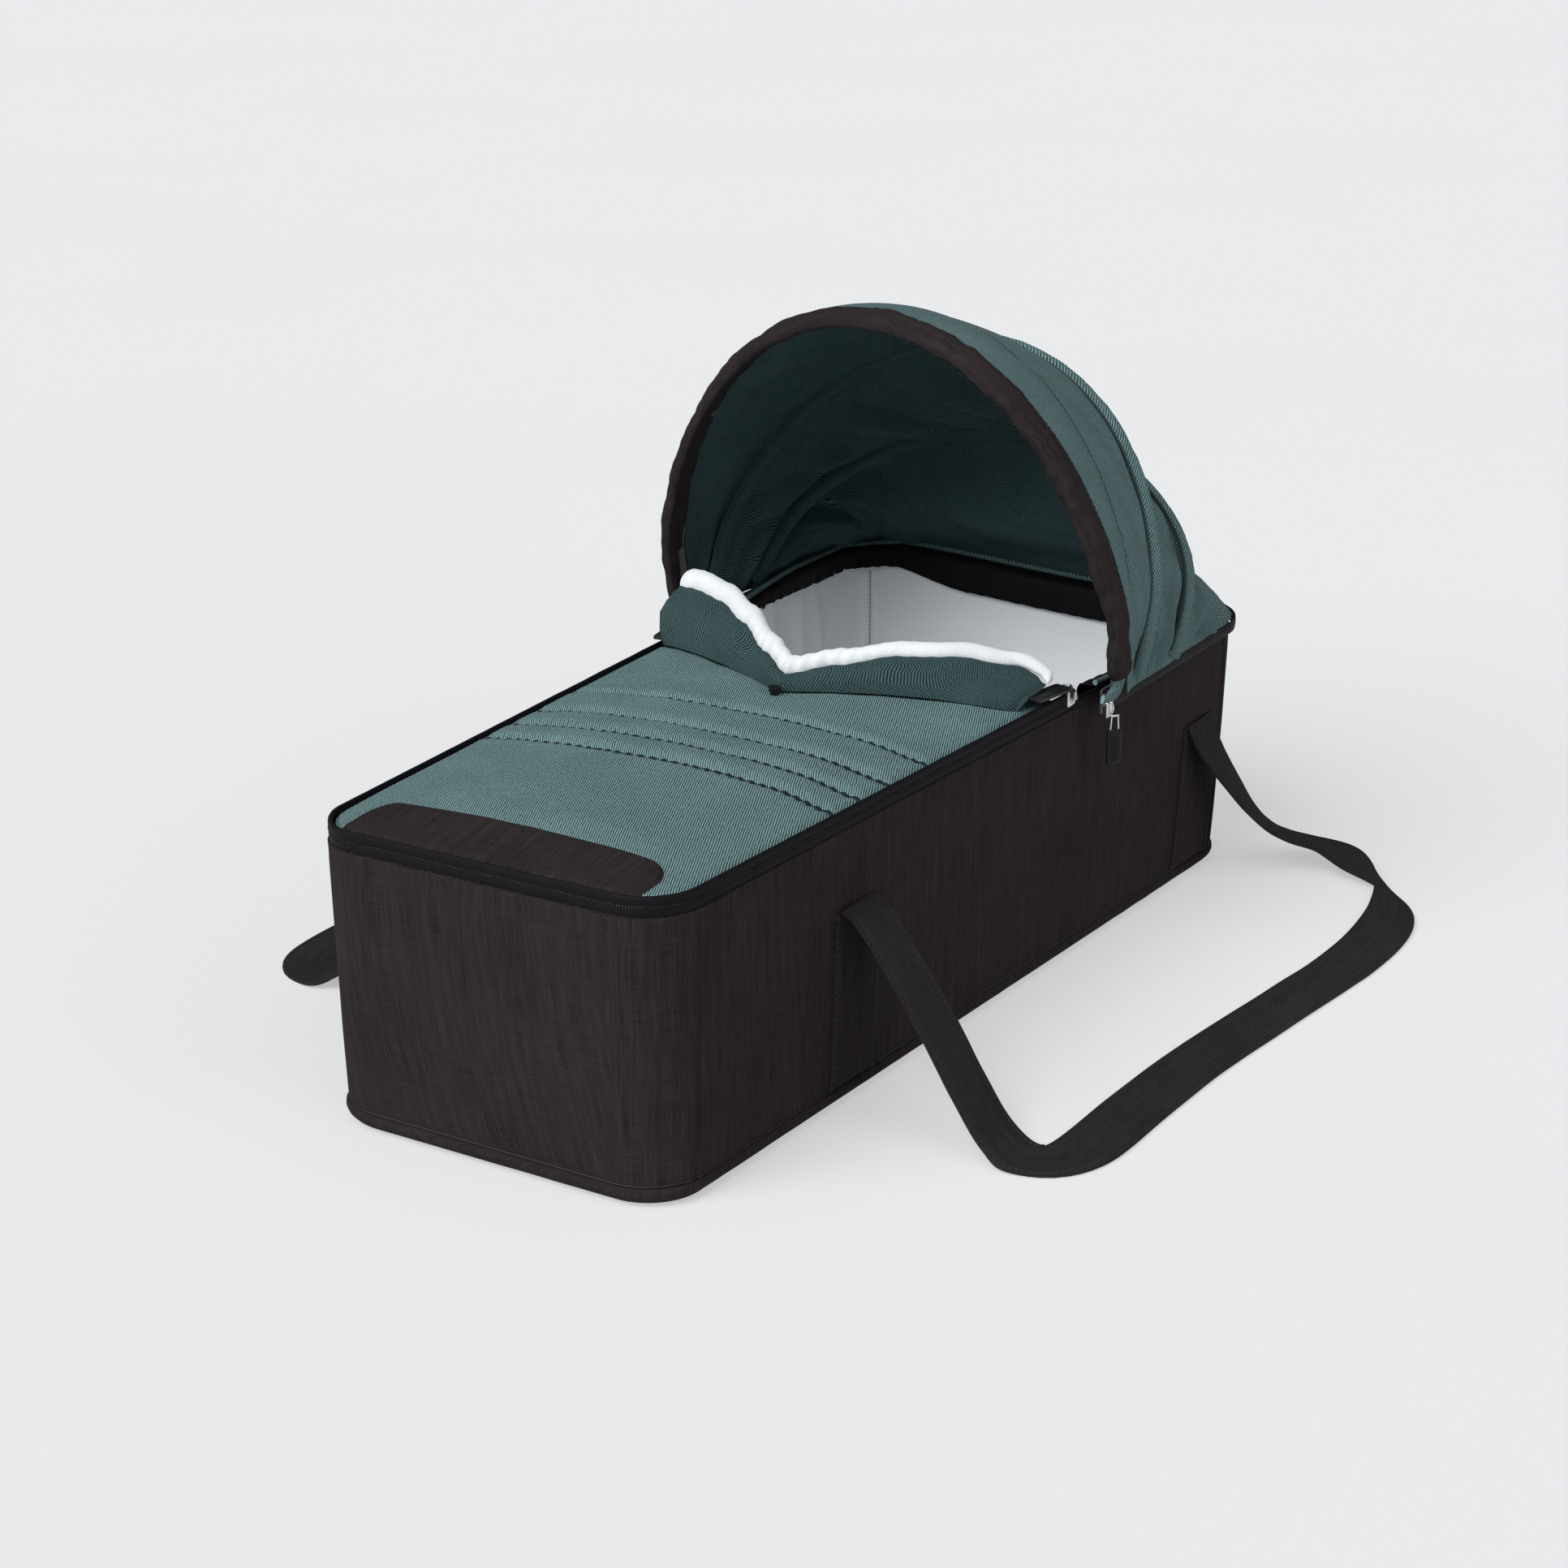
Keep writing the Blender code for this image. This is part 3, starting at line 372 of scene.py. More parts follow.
@dataclass(frozen=True)
class Sewing:
    """A row of stitches, each a short thread with pointed ends."""

    stitch: float = 3.0 * MM
    gap: float = 1.4 * MM
    radius: float = 0.42 * MM
    sides: int = 5

    def sew(self, name: str, seams: Sequence[Path], finish: Material) -> Piece:
        """Sew along some seams.

        Args:
            name: The piece's name.
            seams: The paths to follow, on the cloth's surface.
            finish: The thread's material.

        Returns:
            One object with all the stitches.
        """
        work = bmesh.new()
        pitch = self.stitch + self.gap
        for seam in seams:
            line = resampled(seam, pitch / 2)
            for start, end in zip(line[:-2:2], line[2::2]):
                self.add_stitch(work, start, start.lerp(end, self.stitch / pitch))
        work.loops.layers.uv.new("UVMap")
        return from_work(name, work, finish)

    def add_stitch(self, work: bmesh.types.BMesh, start: Vector, end: Vector) -> None:
        """Add one stitch to the mesh in work.

        Args:
            work: The mesh in work.
            start: Where the stitch starts.
            end: Where it ends.
        """
        run = (end - start).normalized()
        lean = UP if abs(run.z) < 0.9 else Vector((1.0, 0.0, 0.0))
        first = run.cross(lean).normalized() * self.radius
        second = run.cross(first).normalized() * self.radius
        rings = []
        for share, wide in ((0.0, 0.3), (0.2, 1.0), (0.8, 1.0), (1.0, 0.3)):
            centre = start.lerp(end, share)
            rings.append([work.verts.new(centre + (first * cos(turn) + second * sin(turn)) * wide)
                          for turn in circle(self.sides)])
        for below, above in zip(rings, rings[1:]):
            for k in range(self.sides):
                after = (k + 1) % self.sides
                work.faces.new((below[k], below[after], above[after], above[k]))
        work.faces.new(rings[0])
        work.faces.new(rings[-1])


def add_to(piece: Piece, body: str, slot: str, *nodes: str) -> Piece:
    """Let a piece ride on a body and stand for its nodes.

    Args:
        piece: The piece.
        body: The body that it moves with.
        slot: A name for its finish's slot; not used.
        nodes: The nodes that it replaces.

    Returns:
        The piece.
    """
    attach(piece, body)
    if nodes:
        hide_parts(*nodes)
    log.info("%s rides on %s", piece.name, body)
    return piece


def box_of(node: str) -> tuple[Vector, Vector]:
    """The middle of a node's box and its three sizes."""
    low, high = (Vector(corner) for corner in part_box(node))
    return (low + high) / 2, high - low


# Materials


class Wire:
    """A number or colour inside a material, which adds its nodes as it is worked with."""

    def __init__(self, graph: "Graph", socket: bpy.types.NodeSocket) -> None:
        """Wrap an output socket of a graph."""
        self.graph = graph
        self.socket = socket

    def maths(self, operation: str, other: "Wire | float", turned: bool = False) -> "Wire":
        """Join this value to another one with a Math node.

        Args:
            operation: The Math node's operation.
            other: The second value.
            turned: Whether the second value comes first.

        Returns:
            The result.
        """
        pair = (other, self) if turned else (self, other)
        return self.graph.add("ShaderNodeMath", {"operation": operation}, dict(enumerate(pair)))

    def __add__(self, other: "Wire | float") -> "Wire":
        """Add, from either side."""
        return self.maths("ADD", other)

    __radd__ = __add__

    def __sub__(self, other: "Wire | float") -> "Wire":
        """Subtract."""
        return self.maths("SUBTRACT", other)

    def __rsub__(self, other: "Wire | float") -> "Wire":
        """Subtract this value from another."""
        return self.maths("SUBTRACT", other, True)

    def __mul__(self, other: "Wire | float") -> "Wire":
        """Multiply, from either side."""
        return self.maths("MULTIPLY", other)

    __rmul__ = __mul__

    def __truediv__(self, other: "Wire | float") -> "Wire":
        """Divide."""
        return self.maths("DIVIDE", other)

    def __rtruediv__(self, other: "Wire | float") -> "Wire":
        """Divide another value by this one."""
        return self.maths("DIVIDE", other, True)

    def __pow__(self, other: "Wire | float") -> "Wire":
        """Raise to a power."""
        return self.maths("POWER", other)

    def wave(self) -> "Wire":
        """A wave from 0 to 1 that repeats at every whole number."""
        return self.graph.add("ShaderNodeMath", {"operation": "SINE"}, {0: self * (2 * pi)}) * 0.5 + 0.5

    def firm(self, contrast: float) -> "Wire":
        """Raise the contrast about a half and keep the result from 0 to 1."""
        return self.graph.add("ShaderNodeMath", {"operation": "ADD", "use_clamp": True},
                              {0: (self - 0.5) * contrast, 1: 0.5})


class Graph:
    """One material's nodes."""

    def __init__(self, name: str) -> None:
        """Start an empty material."""
        self.material = bpy.data.materials.new(name)
        self.material.use_nodes = True
        self.tree = self.material.node_tree
        self.tree.nodes.clear()

    def add(self, kind: str, settings: dict[str, object] | None = None,
            values: dict[int | str, object] | None = None, output: int | str = 0) -> Wire:
        """Add one node.

        Args:
            kind: The node's type.
            settings: Its settings, set first; "stops" fills a colour ramp.
            values: Numbers, colours or wires for its input sockets.
            output: The socket whose value is returned.

        Returns:
            The wire of that output.
        """
        node = self.tree.nodes.new(kind)
        for key, value in (settings or {}).items():
            if key == "stops":
                self.fill_ramp(node, value)
            else:
                setattr(node, key, value)
        for key, value in (values or {}).items():
            if isinstance(value, Wire):
                self.tree.links.new(value.socket, node.inputs[key])
            else:
                node.inputs[key].default_value = value
        return Wire(self, node.outputs[output])

    def fill_ramp(self, node: bpy.types.Node, stops: Sequence[tuple[float, Colour]]) -> None:
        """Set the stops of a colour ramp.

        Args:
            node: The ramp's node.
            stops: Pairs of place and colour.
        """
        elements = node.color_ramp.elements
        while len(elements) < len(stops):
            elements.new(1.0)
        for element, (place, colour) in zip(elements, stops):
            element.position = place
            element.color = (*colour, 1.0)

    def cloth_place(self) -> tuple[Wire, Wire]:
        """The two places on the cloth's own map, in millimetres."""
        uv = self.tree.nodes.new("ShaderNodeUVMap")
        uv.uv_map = "UVMap"
        split = self.tree.nodes.new("ShaderNodeSeparateXYZ")
        self.tree.links.new(uv.outputs[0], split.inputs[0])
        return Wire(self, split.outputs[0]) * 1000.0, Wire(self, split.outputs[1]) * 1000.0

    def solid_place(self) -> Wire:
        """The place in the object, in millimetres."""
        at = self.add("ShaderNodeTexCoord", output="Object")
        return self.add("ShaderNodeVectorMath", {"operation": "SCALE"}, {0: at, "Scale": 1000.0})

    def joined(self, x: Wire | float, y: Wire | float, z: Wire | float = 0.0) -> Wire:
        """Three numbers as one vector."""
        return self.add("ShaderNodeCombineXYZ", None, {0: x, 1: y, 2: z})

    def noise(self, at: Wire, detail: float = 2.0, scale: float = 1.0) -> Wire:
        """Noise from 0 to 1 with lumps of about one unit at scale 1."""
        return self.add("ShaderNodeTexNoise", None, {"Vector": at, "Scale": scale, "Detail": detail})

    def cells(self, at: Wire, scale: float) -> Wire:
        """Distance to the nearest of scattered points."""
        return self.add("ShaderNodeTexVoronoi", None, {"Vector": at, "Scale": scale})

    def blend(self, share: Wire, dark: "Wire | Colour", light: "Wire | Colour") -> Wire:
        """Blend two colours.

        Args:
            share: The share of the second colour.
            dark: The first colour.
            light: The second colour.

        Returns:
            The blended colour.
        """
        colours = [value if isinstance(value, Wire) else (*value, 1.0) for value in (dark, light)]
        return self.add("ShaderNodeMix", {"data_type": "RGBA"},
                        {"Factor": share, 6: colours[0], 7: colours[1]}, 2)

    def bump(self, height: Wire, strength: float, distance: float) -> Wire:
        """A normal from a height; distance is the height's real size."""
        return self.add("ShaderNodeBump", None,
                        {"Height": height, "Strength": strength, "Distance": distance})

    def finish(self, colour: Wire, roughness: Wire | float, normal: Wire,
               fixed: dict[str, object] | None = None) -> Material:
        """Close the material with its shader.

        Args:
            colour: The base colour.
            roughness: The roughness.
            normal: The bumped normal.
            fixed: Values that are the same all over.

        Returns:
            The material.
        """
        values = {"Base Color": colour, "Roughness": roughness, "Normal": normal, **(fixed or {})}
        shader = self.add("ShaderNodeBsdfPrincipled", None, values)
        self.add_output(shader)
        return self.material

    def add_output(self, shader: Wire) -> None:
        """Join a shader to the material's output."""
        end = self.tree.nodes.new("ShaderNodeOutputMaterial")
        self.tree.links.new(shader.socket, end.inputs["Surface"])


@dataclass(frozen=True)
class Finish:
    """What all finishes have: a name and the two tones that their pattern runs between."""

    name: str
    dark: Colour
    light: Colour


@dataclass(frozen=True)
class HeatheredCloth(Finish):
    """Plain woven cloth of two tones of yarn, with slubs both ways."""

    upright: float = 0.62
    slub: float = 0.9
    contrast: float = 2.3
    weave: float = 0.9

    def material(self) -> Material:
        """Weave the cloth on the piece's own map."""
        graph = Graph(self.name)
        along, across = graph.cloth_place()
        warp = graph.noise(graph.joined(along / self.slub, across / 34.0), 3.0)
        weft = graph.noise(graph.joined(along / 26.0, across / self.slub, 7.0), 3.0)
        wide = graph.noise(graph.joined(along / 5.5, across / 120.0, 3.0), 2.0)
        cloud = graph.noise(graph.joined(along / 70.0, across / 70.0, 11.0), 1.0)
        yarn = warp * self.upright + weft * (1 - self.upright)
        tone = (yarn * 0.7 + wide * 0.2 + cloud * 0.1).firm(self.contrast)
        colour = graph.blend(tone, self.dark, self.light)
        knots = (along / self.weave).wave() * (across / self.weave + 0.25).wave()
        height = knots * 0.5 + yarn * 0.5
        return graph.finish(colour, tone * 0.08 + 0.86, graph.bump(height, 0.55, 0.35 * MM),
                            {"Specular IOR Level": 0.08})


@dataclass(frozen=True)
class Twill(Finish):
    """Thick twill whose light threads run at a slant."""

    pitch: float = 1.57
    turn: float = radians(23)
    relief: float = 0.8

    def material(self) -> Material:
        """Weave the cloth on the piece's own map."""
        graph = Graph(self.name)
        along, across = graph.cloth_place()
        drift = graph.noise(graph.joined(along / 9.0, across / 9.0), 2.0)
        slant = (across * cos(self.turn) - along * sin(self.turn)) / self.pitch + drift * 0.7
        thread = along * cos(self.turn) + across * sin(self.turn)
        rib = slant.wave()
        fleck = graph.noise(graph.joined(slant * 0.9, thread / 5.0), 3.0)
        cloud = graph.noise(graph.joined(along / 45.0, across / 45.0, 4.0), 2.0)
        knot = (thread / 1.9 + slant * 0.5).wave()
        tone = (rib * 0.5 + fleck * 0.28 + cloud * 0.1 + knot * 0.12).firm(2.1)
        colour = graph.blend(tone, self.dark, self.light)
        height = rib * 0.7 + knot * 0.2 + fleck * 0.1
        return graph.finish(colour, 0.9 - tone * 0.1, graph.bump(height, self.relief, 0.35 * MM),
                            {"Specular IOR Level": 0.15})


@dataclass(frozen=True)
class DottedCloth(Finish):
    """Pale cloth knitted with rows of fine dots."""

    pitch: float = 2.6

    def material(self) -> Material:
        """Knit the cloth on the piece's own map."""
        graph = Graph(self.name)
        along, across = graph.cloth_place()
        dots = (along / self.pitch).wave() * (across / self.pitch).wave()
        cloud = graph.noise(graph.joined(along / 60.0, across / 60.0), 2.0)
        fluff = graph.noise(graph.joined(along, across), 3.0, 1.3)
        tone = (0.95 - dots ** 3.0 * 0.55) * 0.72 + cloud * 0.28
        colour = graph.blend(tone, self.dark, self.light)
        height = fluff * 0.4 - dots ** 3.0
        return graph.finish(colour, fluff * 0.1 + 0.84, graph.bump(height, 0.35, 0.4 * MM),
                            {"Sheen Weight": 0.1, "Specular IOR Level": 0.3})


@dataclass(frozen=True)
class Fleece(Finish):
    """Soft brushed pile."""

    tuft: float = 1.6

    def material(self) -> Material:
        """Brush the pile over the piece."""
        graph = Graph(self.name)
        at = graph.solid_place()
        pile = graph.noise(at, 4.0, 1 / self.tuft)
        cloud = graph.noise(at, 2.0, 1 / 24.0)
        tone = (pile * 0.6 + cloud * 0.4).firm(1.8)
        colour = graph.blend(tone, self.dark, self.light)
        return graph.finish(colour, pile * 0.1 + 0.88, graph.bump(pile, 0.6, 0.7 * MM),
                            {"Sheen Weight": 0.35, "Sheen Roughness": 0.6, "Specular IOR Level": 0.2})


@dataclass(frozen=True)
class RibbedTape(Finish):
    """Smooth black tape with fine ribs and a soft shine."""

    rib: float = 1.1
    shine: float = 0.66

    def material(self) -> Material:
        """Weave the tape on the piece's own map."""
        graph = Graph(self.name)
        along, across = graph.cloth_place()
        ribs = (across / self.rib).wave() * 0.6 + (along / 0.8).wave() * 0.4
        cloud = graph.noise(graph.joined(along / 30.0, across / 12.0), 3.0)
        tone = (ribs * 0.4 + cloud * 0.6).firm(1.6)
        colour = graph.blend(tone, self.dark, self.light)
        return graph.finish(colour, cloud * 0.2 + (self.shine - 0.1), graph.bump(ribs, 0.35, 0.2 * MM),
                            {"Specular IOR Level": 0.13})


@dataclass(frozen=True)
class Thread(Finish):
    """Twisted sewing thread."""

    def material(self) -> Material:
        """Twist the thread."""
        graph = Graph(self.name)
        at = graph.solid_place()
        twist = graph.noise(at, 2.0, 2.2)
        colour = graph.blend(twist, self.dark, self.light)
        return graph.finish(colour, twist * 0.2 + 0.6, graph.bump(twist, 0.4, 0.1 * MM))


@dataclass(frozen=True)
class ZipMetal(Finish):
    """Bright plated metal with fine handling marks."""

    def material(self) -> Material:
        """Plate the piece."""
        graph = Graph(self.name)
        at = graph.solid_place()
        scuff = graph.noise(at, 5.0, 0.9)
        cloud = graph.noise(at, 2.0, 0.2)
        colour = graph.blend(cloud, self.dark, self.light)
        return graph.finish(colour, scuff * 0.22 + 0.12, graph.bump(scuff, 0.12, 0.1 * MM),
                            {"Metallic": 1.0})


@dataclass(frozen=True)
class Hide(Finish):
    """Smooth black leather with a fine grain."""

    grain_size: float = 0.8

    def material(self) -> Material:
        """Grain the hide."""
        graph = Graph(self.name)
        at = graph.solid_place()
        pores = graph.cells(at, 1 / self.grain_size)
        cloud = graph.noise(at, 3.0, 0.15)
        tone = (pores * 0.5 + cloud * 0.5).firm(1.5)
        colour = graph.blend(tone, self.dark, self.light)
        return graph.finish(colour, cloud * 0.2 + 0.38, graph.bump(pores, 0.35, 0.2 * MM),
                            {"Specular IOR Level": 0.45})


@dataclass(frozen=True)
class Moulding(Finish):
    """Moulded plastic or rubber with a fine skin."""

    shine: float = 0.45

    def material(self) -> Material:
        """Give the piece its moulded skin."""
        graph = Graph(self.name)
        at = graph.solid_place()
        skin = graph.noise(at, 4.0, 1.4)
        cloud = graph.noise(at, 2.0, 0.08)
        tone = (skin * 0.3 + cloud * 0.7).firm(1.3)
        colour = graph.blend(tone, self.dark, self.light)
        return graph.finish(colour, skin * 0.15 + (self.shine - 0.07), graph.bump(skin, 0.15, 0.1 * MM),
                            {"Specular IOR Level": 0.25})


@dataclass(frozen=True)
class PressedBoard(Finish):
    """Grey-brown stiffening board of pressed fibre."""

    def material(self) -> Material:
        """Press the fibres."""
        graph = Graph(self.name)
        at = graph.solid_place()
        fibres = graph.noise(at, 6.0, 0.35)
        specks = graph.cells(at, 0.5)
        tone = (fibres * 0.7 + specks * 0.3).firm(1.7)
        colour = graph.blend(tone, self.dark, self.light)
        return graph.finish(colour, fibres * 0.1 + 0.8, graph.bump(fibres, 0.3, 0.3 * MM))


class Wardrobe:
    """All the finishes of the cot, each made once."""

    def __init__(self) -> None:
        """Make every material."""
        self.charcoal = HeatheredCloth("charcoal_weave", srgb(13, 10, 11), srgb(56, 49, 50)).material()
        self.strap = HeatheredCloth(
            "strap_weave", srgb(14, 13, 14), srgb(56, 52, 54), 0.5, 0.8, 2.0).material()
        self.tape = RibbedTape("zip_tape_satin", srgb(6, 6, 8), srgb(19, 18, 22)).material()
        self.teal = Twill("teal_twill", srgb(8, 27, 30), srgb(128, 157, 159)).material()
        # A darker copy of the teal twill: painted shade on the pad's rows beside each sewn line, standing for
        # the shadow in the quilting grooves.
        self.teal_seam = Twill("teal_seam_twill", srgb(3, 12, 13), srgb(32, 48, 50)).material()
        # The flap's twill is the teal darkened as painted shade, for the face that bulges out over the crease
        # and lies in shade.
        self.flap = Twill("flap_twill", srgb(8, 20, 22), srgb(68, 92, 94), 1.57, radians(48)).material()
        self.lining_thread = Thread("lining_thread", srgb(136, 142, 148), srgb(176, 182, 188)).material()
        self.hood = Twill(
            "hood_twill", srgb(22, 42, 45), srgb(110, 136, 137), 1.5, radians(62), 0.6).material()
        # A darker copy of the hood twill for the canopy's inner faces and bow tunnels: painted shade inside
        # the canopy.
        self.hood_inside = Twill(
            "hood_twill_inside", srgb(14, 30, 33), srgb(74, 98, 101), 1.5, radians(62), 0.4).material()
        self.lining = DottedCloth("white_lining", srgb(226, 233, 240), srgb(250, 252, 254)).material()
        self.fleece = Fleece("white_fleece", srgb(204, 209, 214), srgb(228, 232, 235)).material()
        self.ticking = DottedCloth(
            "mattress_ticking", srgb(214, 218, 222), srgb(240, 242, 244), 3.4).material()
        self.dark_thread = Thread("dark_thread", srgb(6, 5, 6), srgb(20, 18, 20)).material()
        self.teal_thread = Thread("teal_thread", srgb(14, 27, 29), srgb(36, 54, 56)).material()
        self.coil = Moulding("zip_coil", srgb(12, 12, 13), srgb(58, 57, 62), 0.35).material()
        self.metal = ZipMetal("zip_metal", srgb(186, 186, 188), srgb(228, 228, 230)).material()
        self.leather = Hide("pull_leather", srgb(10, 10, 11), srgb(24, 23, 25)).material()
        self.rubber = Moulding("pull_rubber", srgb(4, 4, 5), srgb(12, 12, 14), 0.5).material()
        self.snap = Moulding("snap_plastic", srgb(10, 10, 11), srgb(26, 26, 29), 0.35).material()
        self.board = PressedBoard("stiffener_board", srgb(120, 112, 100), srgb(166, 158, 146)).material()
        self.spring = Moulding("bow_plastic", srgb(56, 56, 60), srgb(88, 88, 94)).material()


# The tub


@dataclass(frozen=True)
class RimSpot:
    """A place on the tub's plan, with the direction outwards."""

    x: float
    y: float
    out_x: float
    out_y: float

    def at(self, outset: float, z: float) -> Vector:
        """The point at an outset and a height."""
        return Vector((self.x + self.out_x * outset, self.y + self.out_y * outset, z))


@dataclass(frozen=True)
class TubPlan:
    """The plan of the tub, as the solids have it."""

    length: float = 780 * MM
    foot_width: float = 270 * MM
    head_width: float = 353 * MM
    wall: float = 194 * MM
    foot_radius: float = 40 * MM
    head_radius: float = 46 * MM
    length_inset: float = 5 * MM
    width_inset: float = 4 * MM
    flare: float = 5.85 * MM
    flare_start: float = 101 * MM
    flare_peak: float = 219 * MM
    foot_slit: tuple[float, float] = (-180 * MM, 141 * MM)
    head_slit: tuple[float, float] = (302 * MM, 133 * MM)
    strap_width: float = 44 * MM
    corner_steps: int = 52
    side_steps: int = 120
    foot_run_steps: int = 100
    head_run_steps: int = 46
    end_steps: int = 40

    def half_width(self, x: float, level: float = 1.0) -> float:
        """Half of the outer width.

        Args:
            x: The place along the cot.
            level: The share of the wall's height.

        Returns:
            The half width.
        """
        straight = mix(self.foot_width, self.head_width, x / self.length + 0.5) / 2
        rise = smooth((x - self.flare_start) / (self.flare_peak - self.flare_start))
        fall = smooth((x - self.flare_peak) / (self.length / 2 - self.flare_peak))
        return straight + level * self.flare * (rise - fall) - (1 - level) * self.width_inset

    def centre(self, end: End, side: Side, level: float) -> tuple[float, float, float]:
        """The centre and radius of a plan corner.

        Args:
            end: The cot's end.
            side: The cot's side.
            level: The share of the wall's height.

        Returns:
            The two places and the radius.
        """
        radius = self.foot_radius if end is End.FOOT else self.head_radius
        x = end.value * (self.length / 2 - (1 - level) * self.length_inset - radius)
        return x, side.value * (self.half_width(x, level) - radius), radius

    def corner(self, end: End, side: Side, level: float) -> list[RimSpot]:
        """The spots round a plan corner, counter-clockwise.

        Args:
            end: The cot's end.
            side: The cot's side.
            level: The share of the wall's height.

        Returns:
            The spots.
        """
        x, y, radius = self.centre(end, side, level)
        start = {(End.FOOT, Side.RIGHT): pi, (End.HEAD, Side.RIGHT): 1.5 * pi,
                 (End.HEAD, Side.LEFT): 0.0, (End.FOOT, Side.LEFT): pi / 2}[(end, side)]
        turns = [start + pi / 2 * step / self.corner_steps for step in range(self.corner_steps + 1)]
        return [RimSpot(x + radius * cos(turn), y + radius * sin(turn), cos(turn), sin(turn))
                for turn in turns]

    def side(self, side: Side, level: float, first: float, last: float, steps: int) -> list[RimSpot]:
        """Spots along a long side, both ends left out.

        Args:
            side: The side.
            level: The share of the wall's height.
            first: Where the run starts.
            last: Where it ends.
            steps: The number of steps.

        Returns:
            The spots.
        """
        return [RimSpot(x, side.value * self.half_width(x, level), 0.0, side.value)
                for x in spread(first, last, steps)[1:-1]]

    def end(self, end: End, level: float) -> list[RimSpot]:
        """Spots across an end from the first corner's end to the next one's start.

        Args:
            end: The cot's end.
            level: The share of the wall's height.

        Returns:
            The spots.
        """
        sides = (Side.LEFT, Side.RIGHT) if end is End.FOOT else (Side.RIGHT, Side.LEFT)
        x, first, radius = self.centre(end, sides[0], level)
        last = self.centre(end, sides[1], level)[1]
        return [RimSpot(x + end.value * radius, y, end.value, 0.0)
                for y in spread(first, last, self.end_steps)[1:-1]]

    def ring(self, z: float) -> list[RimSpot]:
        """The whole plan at a height, counter-clockwise from the foot's right corner."""
        level = self.level(z)
        foot = self.centre(End.FOOT, Side.RIGHT, level)[0]
        head = self.centre(End.HEAD, Side.RIGHT, level)[0]
        spots = self.corner(End.FOOT, Side.RIGHT, level)
        spots += self.side(Side.RIGHT, level, foot, head, self.side_steps)
        spots += self.corner(End.HEAD, Side.RIGHT, level) + self.end(End.HEAD, level)
        spots += self.corner(End.HEAD, Side.LEFT, level)
        spots += self.side(Side.LEFT, level, head, foot, self.side_steps)
        return spots + self.corner(End.FOOT, Side.LEFT, level) + self.end(End.FOOT, level)

    def level(self, z: float) -> float:
        """The share of the wall's height at z."""
        return min(max(z / self.wall, 0.0), 1.0)

    def foot_run(self, right: float, left: float) -> list[RimSpot]:
        """The rim from a place on the right side round the foot to one on the left.

        Args:
            right: Where the run starts on the right side.
            left: Where it ends on the left side.

        Returns:
            The spots.
        """
        foot = self.centre(End.FOOT, Side.RIGHT, 1)[0]
        spots = self.side(Side.RIGHT, 1, right, foot, self.foot_run_steps)
        spots += reversed(self.corner(End.FOOT, Side.RIGHT, 1))
        spots += reversed(self.end(End.FOOT, 1))
        spots += reversed(self.corner(End.FOOT, Side.LEFT, 1))
        return spots + self.side(Side.LEFT, 1, foot, left, self.foot_run_steps)

    def head_run(self, start: float) -> list[RimSpot]:
        """The rim from a place on the right side round the head to the left one.

        Args:
            start: Where the run starts and ends along the cot.

        Returns:
            The spots.
        """
        head = self.centre(End.HEAD, Side.RIGHT, 1)[0]
        spots = self.side(Side.RIGHT, 1, start, head, self.head_run_steps)
        spots += self.corner(End.HEAD, Side.RIGHT, 1) + self.end(End.HEAD, 1)
        spots += self.corner(End.HEAD, Side.LEFT, 1)
        return spots + self.side(Side.LEFT, 1, head, start, self.head_run_steps)


PLAN = TubPlan()


